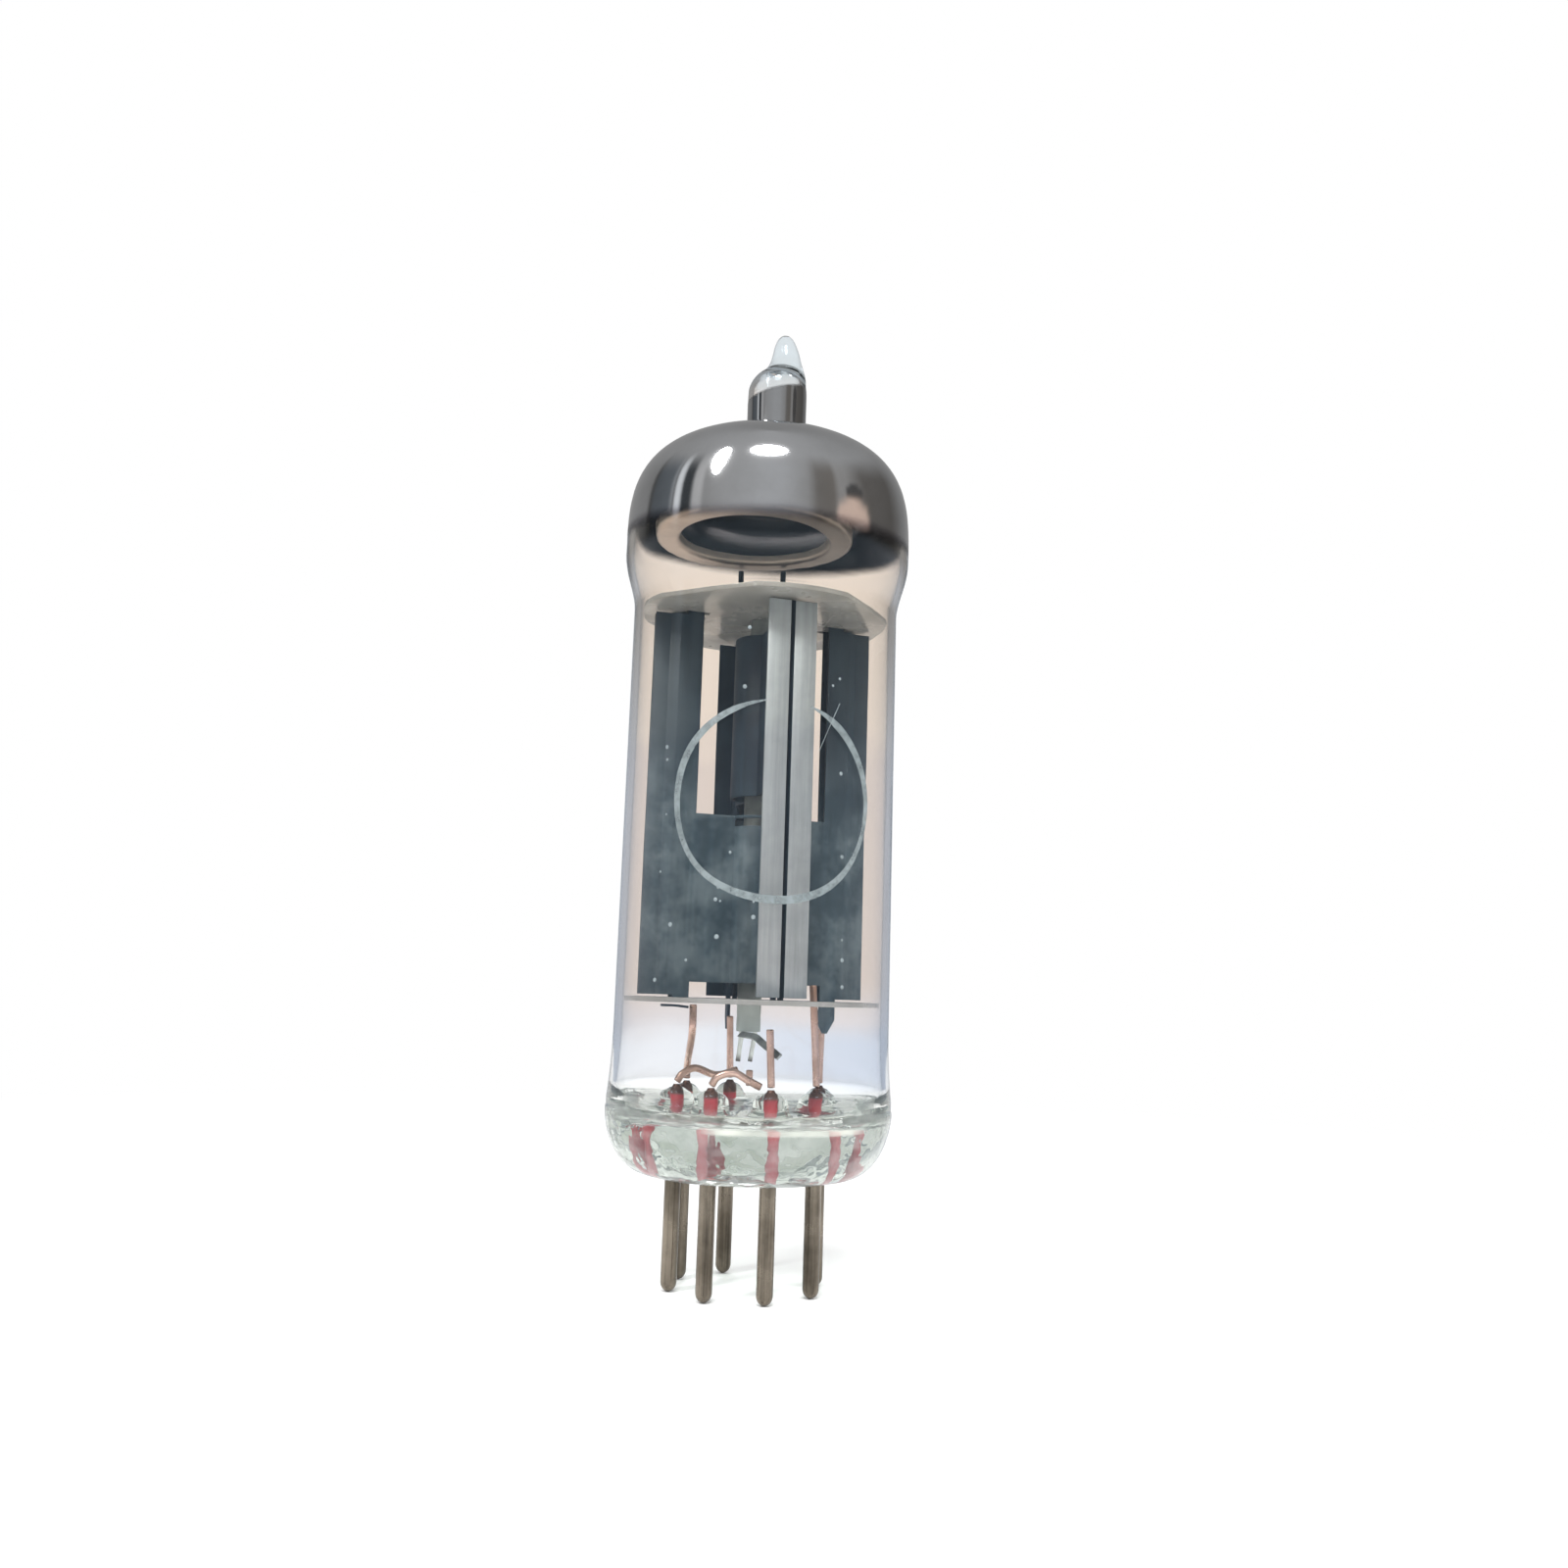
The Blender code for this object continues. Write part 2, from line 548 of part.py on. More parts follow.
def make_cathode(coated, nickel, white):
    """The sleeve, the folded heater inside it and the strap that ties it to the front post."""
    top = CAGE_TOP_Z + CATHODE_ABOVE
    inner = CATHODE_RADIUS - CATHODE_WALL
    stations = [
        (CATHODE_RADIUS, SLEEVE_BOTTOM_Z),
        (CATHODE_RADIUS, top),
        (inner, top),
        (inner, SLEEVE_BOTTOM_Z),
    ]
    sleeve = add_object("cathode_sleeve", turned(stations, 2 * WIRE_SEGMENTS, closed=True), coated)
    sleeve.location.x = CATHODE_OFFSET

    fold = top - 2 * HEATER_SPREAD
    left, right = heater_feet()
    levels = (SLEEVE_BOTTOM_Z, SLEEVE_BOTTOM_Z + HEATER_LEG, fold - HEATER_SPREAD, fold)
    wire = [left]
    wire += [(CATHODE_OFFSET - HEATER_SPREAD, 0, z) for z in levels]
    wire.append((CATHODE_OFFSET, 0, fold + HEATER_SPREAD))
    wire += [(CATHODE_OFFSET + HEATER_SPREAD, 0, z) for z in reversed(levels)]
    wire.append(right)
    add_wire("heater", wire, HEATER_RADIUS, white, steps=2)

    # The strap starts under the sleeve's left side and ends at the right of the front post
    beside = LEAD_RADIUS + CLEARANCE
    start = Vector((CATHODE_OFFSET - CATHODE_RADIUS, -CATHODE_RADIUS, SLEEVE_BOTTOM_Z - CLEARANCE))
    knee = Vector((CATHODE_OFFSET, -2 * CATHODE_RADIUS, start.z - STRAP_DROP * 0.1))
    end = Vector((beside, -(PIN_CIRCLE_RADIUS + LEAD_RADIUS), SLEEVE_BOTTOM_Z - STRAP_DROP))
    strap = [start, knee, knee.lerp(end, 0.35), end]
    add_ribbon("cathode_strap", strap, STRAP_WIDTH, STRAP_THICKNESS, (1, 0, 1), nickel)


def heater_feet():
    """The lower ends of the heater's left and right leg, which both lean to the left."""
    foot = SLEEVE_BOTTOM_Z - HEATER_LEG
    left = Vector((CATHODE_OFFSET - 1.4 * HEATER_SPREAD, 0, foot))
    right = Vector((CATHODE_OFFSET + 0.4 * HEATER_SPREAD, 0, foot))
    return left, right


def make_leads(copper):
    """The seven leads, each from the top of its seal, and the stub below the heater."""
    foot = {n: Vector((*pin_place(n), LEAD_START_Z)) for n in PIN_PLACES}
    rise = Vector((0, 0, 4 * LEAD_RADIUS))
    beside = LEAD_RADIUS + CLEARANCE
    left, right = heater_feet()
    below = Vector((0, 0, HEATER_RADIUS + beside))
    inward = (foot[5] - foot[4]).normalized()
    rear_end = Vector((-UPPER_TAB_OFFSET, UPPER_TAB_REACH - beside, TAIL_MIDDLE_Z))
    left_end = Vector((LEAD_RADIUS - LOWER_TAB_REACH, 0, BOTTOM_MICA_Z - CLEARANCE))
    right_end = Vector((LOWER_TAB_PLACE, SHEET / 2 - LOWER_TAB_OFFSET + beside, TAIL_MIDDLE_Z))
    routes = {
        1: [foot[1], rear_end],
        2: [foot[2], foot[2] + rise, left_end - 2 * rise, left_end],
        3: arch(foot[3], left - below, 0.3, HEATER_ARCH, -0.1 * HEATER_ARCH),
        4: arch(foot[4], foot[5] - inward * (LEAD_RADIUS + beside), 0.45, JUMPER_ARCH, JUMPER_ARCH / 2),
        5: [foot[5], foot[5] + Vector((-LEAD_LEAN, 0, POST_HEIGHT))],
        6: [foot[6], lead_6_end()],
        7: [foot[7], foot[7] + rise, right_end],
    }
    for number, route in sorted(routes.items()):
        add_wire(f"lead_{number}", route, LEAD_RADIUS, copper, steps=4 if len(route) > 3 else 2)
    stub = [right - below, right - below - Vector((0, 0, HEATER_STUB))]
    add_wire("heater_stub", stub, LEAD_RADIUS, copper, steps=1)


def arch(start, end, crest, height, shoulder):
    """A wire's route from start to end: it rises by height at the crest, a share of its span."""
    span = end - start
    heights = ((0.3 * crest, 0.7 * height), (crest, height), ((1 + crest) / 2, shoulder))
    return [start, *(start + span * share + Vector((0, 0, up)) for share, up in heights), end]


def lead_6_end():
    """Lead 6 leans to the left and ends above the bottom mica, level with the lower section."""
    x, y = pin_place(6)
    return Vector((x - 2 * LEAD_LEAN, y, LOWER_SECTION[0]))


def make_tab_strip(material):
    """The strip under the bottom mica that ties the lower anode's left tab to its lead."""
    far = -(LOWER_TAB_REACH + LOWER_TAB_WIDTH + TAB_STRIP_OUT)
    near = -(LOWER_TAB_REACH + CLEARANCE)
    z = BOTTOM_MICA_Z - CLEARANCE - STRAP_THICKNESS / 2
    route = [(far, 0, z), ((far + near) / 2, 0, z), (near, 0, z - STRAP_THICKNESS / 2)]
    add_ribbon("anode_tab_strip", route, TAB_STRIP_WIDTH, STRAP_THICKNESS, (0, 1, 0), material)


def getter_post_place(side):
    angle = radians(GETTER_POST_ANGLES[side])
    reach = GETTER_MEAN_RADIUS + GETTER_POST_OUT
    return GETTER_OFFSET + reach * cos(angle), reach * sin(angle)


def make_getter(bright, nickel):
    """The pressed ring, a channel open to the dome, on two posts from the top mica."""
    half = GETTER_WIDTH / 2
    inner, outer = GETTER_MEAN_RADIUS - half, GETTER_MEAN_RADIUS + half
    top = GETTER_Z + GETTER_DEPTH
    floor = GETTER_Z + GETTER_SHEET
    stations = [
        (inner, GETTER_Z),
        (outer, GETTER_Z),
        (outer, top),
        (outer - GETTER_SHEET, top),
        (outer - GETTER_SHEET, floor),
        (inner + GETTER_SHEET, floor),
        (inner + GETTER_SHEET, top),
        (inner, top),
    ]
    ring = add_object("getter_ring", turned(stations, GLASS_SEGMENTS, closed=True), bright)
    ring.location.x = GETTER_OFFSET
    for side in GETTER_POST_ANGLES:
        x, y = getter_post_place(side)
        low = TOP_MICA_Z + MICA_THICKNESS / 4
        add_wire(
            f"getter_post_{side}",
            [(x, y, low), (x, y, GETTER_Z - CLEARANCE)],
            GETTER_POST_RADIUS,
            nickel,
            steps=1,
        )


def main():
    clear_scene()
    glass = make_material("clear_glass", (0.86, 0.89, 0.86), 0.03, transmission=1.0)
    pin_metal = make_material("pin_nickel_iron", (0.34, 0.31, 0.22), 0.35, metallic=1.0)
    seal = make_material("red_seal", (0.45, 0.05, 0.05), 0.4)
    copper = make_material("lead_copper", (0.62, 0.42, 0.33), 0.35, metallic=1.0)
    mica = make_material("mica", (0.36, 0.36, 0.28), 0.5)
    dark = make_material("carbonised_anode", (0.04, 0.055, 0.07), 0.6, metallic=0.3)
    bright = make_material("bare_nickel", (0.55, 0.56, 0.54), 0.35, metallic=1.0)
    coated = make_material("cathode_coating", (0.75, 0.74, 0.70), 0.8)
    white = make_material("heater_coating", (0.80, 0.79, 0.75), 0.8)

    make_envelope(glass)
    make_stem(glass)
    for number in sorted(PIN_PLACES):
        make_pin(number, pin_metal)
        make_seal(number, seal)
    make_leads(copper)

    start = Vector((*pin_place(6), LEAD_START_Z))
    end = lead_6_end()
    through = start.lerp(end, (BOTTOM_MICA_Z + MICA_THICKNESS / 2 - start.z) / (end.z - start.z))
    make_mica("bottom_mica", BOTTOM_MICA_Z, mica, [(through.x, through.y, LEAD_RADIUS)])
    posts = [(*getter_post_place(side), GETTER_POST_RADIUS) for side in GETTER_POST_ANGLES]
    make_mica("top_mica", TOP_MICA_Z, mica, posts)

    lower = {
        "reach": LOWER_REACH,
        "fold": LOWER_REACH - LOWER_FOLD_INSET,
        "tab": LOWER_TAB_REACH,
        "tab_width": LOWER_TAB_WIDTH,
        "flange": 0.0,
    }
    make_anode_half("lower_anode_front", lower, LOWER_SECTION, 0.0, dark, SLOT, tail=1)
    make_anode_half("lower_anode_rear", lower, LOWER_SECTION, pi, dark)
    upper = {
        "reach": UPPER_REACH,
        "fold": UPPER_REACH - UPPER_FOLD_INSET,
        "tab": UPPER_TAB_REACH,
        "tab_width": UPPER_TAB_WIDTH,
        "flange": FLANGE_WIDTH,
    }
    make_anode_half("upper_anode_left", upper, UPPER_SECTION, -pi / 2, dark, tail=-1)
    make_anode_half("upper_anode_right", upper, UPPER_SECTION, pi / 2, dark)

    make_tab_strip(dark)
    make_cathode(coated, bright, white)
    make_getter(bright, bright)


main()
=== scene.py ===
from math import atan2, cos, pi, radians, sin, sqrt

import bmesh
import bpy
from mathutils import Matrix, Vector


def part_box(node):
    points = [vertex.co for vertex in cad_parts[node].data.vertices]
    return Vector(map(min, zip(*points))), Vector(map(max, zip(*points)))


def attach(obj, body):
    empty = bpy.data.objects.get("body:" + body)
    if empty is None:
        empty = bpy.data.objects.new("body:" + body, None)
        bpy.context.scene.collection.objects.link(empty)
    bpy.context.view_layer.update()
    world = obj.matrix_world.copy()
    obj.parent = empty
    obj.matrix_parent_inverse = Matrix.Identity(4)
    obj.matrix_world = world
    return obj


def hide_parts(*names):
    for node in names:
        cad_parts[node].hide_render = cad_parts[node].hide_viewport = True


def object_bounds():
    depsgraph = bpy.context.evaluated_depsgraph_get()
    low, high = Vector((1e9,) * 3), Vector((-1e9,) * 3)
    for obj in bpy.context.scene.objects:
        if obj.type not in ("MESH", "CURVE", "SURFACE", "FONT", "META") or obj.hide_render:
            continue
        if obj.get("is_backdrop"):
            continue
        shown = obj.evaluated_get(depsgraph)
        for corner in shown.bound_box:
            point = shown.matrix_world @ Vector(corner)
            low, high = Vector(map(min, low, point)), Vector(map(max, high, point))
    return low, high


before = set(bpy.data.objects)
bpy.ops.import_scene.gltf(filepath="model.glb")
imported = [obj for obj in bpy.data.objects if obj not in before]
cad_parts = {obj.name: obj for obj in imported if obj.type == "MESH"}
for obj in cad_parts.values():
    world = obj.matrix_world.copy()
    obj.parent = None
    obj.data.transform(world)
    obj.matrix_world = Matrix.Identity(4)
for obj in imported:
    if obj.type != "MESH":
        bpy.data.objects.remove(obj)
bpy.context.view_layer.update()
mm = 0.001
print("frame loaded:", len(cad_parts), "nodes")

# places that the CAD gives
pinNumbers = range(1, 8)
pinFoot = {}
for number in pinNumbers:
    low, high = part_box(f"pin_{number}")
    pinFoot[number] = (low + high) / 2
pinCircle = -pinFoot[5].y
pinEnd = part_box("pin_5")[0].z
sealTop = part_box("seal_5")[1].z
stemLow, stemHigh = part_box("glass_stem")
seatZ = stemLow.z  # the flat underside of the pressed base
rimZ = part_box("glass_envelope")[0].z  # where the wall meets the base
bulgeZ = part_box("top_mica")[1].z + 0.1 * mm
ringLow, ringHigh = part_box("getter_ring")
ringX, ringRadius = (ringLow.x + ringHigh.x) / 2, (ringHigh.x - ringLow.x) / 2
sleeveLow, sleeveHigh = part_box("cathode_sleeve")
sleeveX = (sleeveLow.x + sleeveHigh.x) / 2


# node helpers: a socket's id_data is the node tree that it belongs to
def connect(sockets, values):
    # a value is another node's socket, a colour of three numbers, or a plain value
    for label, value in values.items():
        socket = sockets[label]
        if isinstance(value, bpy.types.NodeSocket):
            socket.id_data.links.new(value, socket)
        elif socket.type == "RGBA":
            socket.default_value = (*value, 1.0)
        else:
            socket.default_value = value


def addNode(tree, kind, values=None, **settings):
    node = tree.nodes.new(kind)
    for label, value in settings.items():
        setattr(node, label, value)
    connect(node.inputs, values or {})
    return node.outputs


def newTree(kind, name, inputs, outputs):
    # inputs are (label, form, first value) and outputs are (label, form)
    tree = bpy.data.node_groups.new(name, kind)
    for label, form, value in inputs:
        socket = tree.interface.new_socket(name=label, in_out="INPUT", socket_type="NodeSocket" + form)
        if value is not None:
            socket.default_value = value
    for label, form in outputs:
        tree.interface.new_socket(name=label, in_out="OUTPUT", socket_type="NodeSocket" + form)
    return tree, tree.nodes.new("NodeGroupInput").outputs, tree.nodes.new("NodeGroupOutput").inputs


def addMath(kind, a, b=None, clamp=False):
    values = {0: a} if b is None else {0: a, 1: b}
    tree = (a if isinstance(a, bpy.types.NodeSocket) else b).id_data
    return addNode(tree, "ShaderNodeMath", values, operation=kind, use_clamp=clamp)[0]


def plus(a, b, clamp=False):
    return addMath("ADD", a, b, clamp)


def minus(a, b):
    return addMath("SUBTRACT", a, b)


def times(a, b, clamp=False):
    return addMath("MULTIPLY", a, b, clamp)


def larger(a, b):
    return addMath("MAXIMUM", a, b)


def addRange(value, low, high, toLow=0.0, toHigh=1.0, smooth=False):
    values = {"Value": value, "From Min": low, "From Max": high, "To Min": toLow, "To Max": toHigh}
    kind = "SMOOTHSTEP" if smooth else "LINEAR"
    return addNode(value.id_data, "ShaderNodeMapRange", values, interpolation_type=kind)[0]


def addMix(share, a, b):
    return addNode(share.id_data, "ShaderNodeMix", {0: share, 6: a, 7: b}, data_type="RGBA")[2]


def addNoise(vector, scale, detail=4.0, rough=0.55):
    values = {"Vector": vector, "Scale": scale, "Detail": detail, "Roughness": rough}
    return addNode(vector.id_data, "ShaderNodeTexNoise", values)[0]


def addStretch(vector, scale):
    return addNode(vector.id_data, "ShaderNodeMapping", {"Vector": vector, "Scale": scale})[0]


def addDimmed(color, share):
    return addNode(color.id_data, "ShaderNodeVectorMath", {0: color, "Scale": share}, operation="SCALE")[0]


def addLength(vector):
    return addNode(vector.id_data, "ShaderNodeVectorMath", {0: vector}, operation="LENGTH")["Value"]


def addSplit(vector):
    return addNode(vector.id_data, "ShaderNodeSeparateXYZ", {0: vector})


def addShaderMix(share, first, second):
    return addNode(share.id_data, "ShaderNodeMixShader", {0: share, 1: first, 2: second})[0]


def addSeen(tree):
    # 1 where a ray is the camera's own, or came on through glass or off a shiny surface
    path = addNode(tree, "ShaderNodeLightPath")
    seen = larger(path["Is Camera Ray"], path["Is Transmission Ray"])
    return larger(seen, path["Is Glossy Ray"])


# shared effects: each group gives only colours, masks and heights
def makeTarnish():
    # blotches and fine grain: mixes a clean colour with a stained one
    tree, source, target = newTree(
        "ShaderNodeTree", "tarnish",
        [("Vector", "Vector", (0, 0, 0)), ("Clean", "Color", (0.5, 0.5, 0.5, 1)),
         ("Stained", "Color", (0.3, 0.3, 0.3, 1)), ("Scale", "Float", 400.0), ("Amount", "Float", 0.6),
         ("Smooth", "Float", 0.25), ("Rough", "Float", 0.5), ("Grain", "Float", 0.16)],
        [("Color", "Color"), ("Roughness", "Float"), ("Height", "Float")])
    broad = addNoise(source["Vector"], source["Scale"], 5.0, 0.6)
    fine = addNoise(source["Vector"], times(source["Scale"], 6.0), 6.0, 0.7)
    mask = times(addRange(broad, 0.38, 0.68, smooth=True), source["Amount"], clamp=True)
    grain = times(minus(addRange(fine, 0.3, 0.7), 0.5), source["Grain"])
    share = plus(mask, grain, clamp=True)
    connect(target, {
        "Color": addMix(share, source["Clean"], source["Stained"]),
        "Roughness": addRange(share, 0.0, 1.0, source["Smooth"], source["Rough"]),
        "Height": plus(times(fine, 0.7), times(broad, 0.3))})
    return tree


def makeDrawLines():
    # the fine lines that drawing or rolling leaves along Z
    tree, source, target = newTree(
        "ShaderNodeTree", "drawLines",
        [("Vector", "Vector", (0, 0, 0)), ("Color", "Color", (0.5, 0.5, 0.5, 1)),
         ("Scale", "Float", 3000.0), ("Contrast", "Float", 0.3)],
        [("Color", "Color"), ("Height", "Float")])
    lines = addNoise(addStretch(source["Vector"], (1.0, 1.0, 0.035)), source["Scale"], 4.0, 0.65)
    shade = minus(1.0, times(addRange(lines, 0.35, 0.7), source["Contrast"]))
    connect(target, {"Color": addDimmed(source["Color"], shade), "Height": lines})
    return tree


def makeBand():
    # a mask that rises between two heights, with a wandering edge
    tree, source, target = newTree(
        "ShaderNodeTree", "heightBand",
        [("Vector", "Vector", (0, 0, 0)), ("Low", "Float", 0.0), ("High", "Float", 0.01),
         ("Wander", "Float", 0.0005), ("Scale", "Float", 200.0)],
        [("Mask", "Float")])
    noise = addNoise(source["Vector"], source["Scale"], 3.0, 0.5)
    drift = times(minus(noise, 0.5), source["Wander"])
    height = plus(addSplit(source["Vector"])[2], drift)
    connect(target, {"Mask": addRange(height, source["Low"], source["High"], smooth=True)})
    return tree


tarnish = makeTarnish()
drawLines = makeDrawLines()
heightBand = makeBand()


def addGroup(group, coords, **values):
    return addNode(coords.id_data, "ShaderNodeGroup", {"Vector": coords, **values}, node_tree=group)


def addBand(coords, low, high, wander, scale):
    # finishes give their bands as (low, high, wander, scale)
    return addGroup(heightBand, coords, Low=low, High=high, Wander=wander, Scale=scale)["Mask"]


def addBump(shader, height, strength, distance):
    values = {"Height": height, "Strength": strength, "Distance": distance}
    connect(shader.inputs, {"Normal": addNode(shader.id_data, "ShaderNodeBump", values)[0]})


def startMaterial(name):
    material = bpy.data.materials.new(name)
    material.use_nodes = True
    tree = material.node_tree
    return material, tree.nodes["Principled BSDF"], addNode(tree, "ShaderNodeTexCoord")["Object"]


def startStained(name, look):
    # a material whose colour and roughness come from its stains
    material, shader, coords = startMaterial(name)
    labels = [one for one in ("clean", "stained", "scale", "amount", "smooth", "rough", "grain") if one in look]
    stain = addGroup(tarnish, coords, **{one.capitalize(): look[one] for one in labels})
    connect(shader.inputs, {"Base Color": stain["Color"], "Roughness": stain["Roughness"]})
    return material, shader, coords, stain


# metals: clean and stained colours, scale and amount of the stains, drawing lines, relief
metals = {
    "carbonisedSheet": dict(clean=(0.009, 0.021, 0.040), stained=(0.032, 0.056, 0.082), scale=260.0, amount=0.9,
                            smooth=0.5, rough=0.7, metallic=0.1, lines=0.3, bump=0.03, grain=0.5),
    "cloudySheet": dict(clean=(0.029, 0.056, 0.080), stained=(0.138, 0.186, 0.222), scale=300.0, amount=0.9,
                        smooth=0.45, rough=0.62, metallic=0.15, lines=0.28, bump=0.03, grain=0.42),
    "bareNickel": dict(clean=(0.42, 0.475, 0.525), stained=(0.31, 0.357, 0.395), scale=330.0, amount=0.6,
                       smooth=0.38, rough=0.55, metallic=0.6, lines=0.22, bump=0.08),
    "ringNickel": dict(clean=(0.50, 0.42, 0.37), stained=(0.34, 0.29, 0.26), scale=420.0, amount=0.5,
                       smooth=0.3, rough=0.45, metallic=0.6, lines=0.1, bump=0.1),
    "strapNickel": dict(clean=(0.42, 0.44, 0.43), stained=(0.10, 0.10, 0.095), scale=500.0, amount=0.8,
                        smooth=0.3, rough=0.55, metallic=0.35, lines=0.1, bump=0.1),
    "leadCopper": dict(clean=(0.74, 0.51, 0.42), stained=(0.42, 0.26, 0.19), scale=300.0, amount=0.75,
                       smooth=0.22, rough=0.42, metallic=0.8, lines=0.18, bump=0.1),
    "pinMetal": dict(clean=(0.235, 0.20, 0.158), stained=(0.085, 0.069, 0.050), scale=200.0, amount=0.75,
                     smooth=0.24, rough=0.46, metallic=0.8, lines=0.65, bump=0.3),
}
lineScale = 3200.0
fineRelief = 0.04 * mm


def ringShadeAndHighlights(coords, color):
    # painted light: the ring is dimmed to brown-grey away from its left side, a painted shade for the weaker light
    # on its right, and its raised edges carry a painted highlight
    look = dict(brown=(0.075, 0.067, 0.060), bright=(0.52, 0.47, 0.42), fromX=-4.6 * mm, toX=-1.2 * mm,
                share=0.9, wander=2.0 * mm, scale=300.0, width=1.67 * mm, edge=0.16 * mm)
    x, y = addSplit(coords)[:2]
    wander = times(minus(addNoise(coords, look["scale"], 3.0), 0.5), look["wander"])
    # painted shade: darker towards the ring's right side
    side = addRange(plus(x, wander), look["fromX"], look["toX"], 0.0, look["share"], smooth=True)
    across = minus(x, ringX)
    radius = addMath("SQRT", plus(times(across, across), times(y, y)))
    inner, edge = ringRadius - look["width"], look["edge"]
    # painted highlight along both raised edges
    rimHighlights = larger(addRange(radius, ringRadius - edge, ringRadius),
                  addRange(radius, inner, inner + edge, 1.0, 0.0))
    return addMix(rimHighlights, addMix(side, color, look["brown"]), look["bright"])


def tintLeads(coords, color):
    # the wires are browned by the heat just above the beads and where they were welded
    look = dict(brown=(0.20, 0.12, 0.085), band=(12.0 * mm, 13.1 * mm, 0.9 * mm, 500.0))
    return addMix(addBand(coords, *look["band"]), look["brown"], color)


def tintPlates(coords, color):
    # the plates go darker towards their tops
    look = dict(soot=(0.012, 0.026, 0.042), share=0.85, band=(27.0 * mm, 37.0 * mm, 14.0 * mm, 170.0))
    return addMix(times(addBand(coords, *look["band"]), look["share"]), color, look["soot"])


tints = {"ringNickel": ringShadeAndHighlights, "leadCopper": tintLeads, "cloudySheet": tintPlates}


def makeMetal(name, look):
    material, shader, coords, stain = startStained(name, look)
    lines = addGroup(drawLines, coords, Color=stain["Color"], Scale=lineScale, Contrast=look["lines"])
    color = tints[name](coords, lines["Color"]) if name in tints else lines["Color"]
    connect(shader.inputs, {"Base Color": color, "Metallic": look["metallic"]})
    addBump(shader, plus(stain["Height"], lines["Height"]), look["bump"], fineRelief)
    return material


finish = {name: makeMetal(name, look) for name, look in metals.items()}


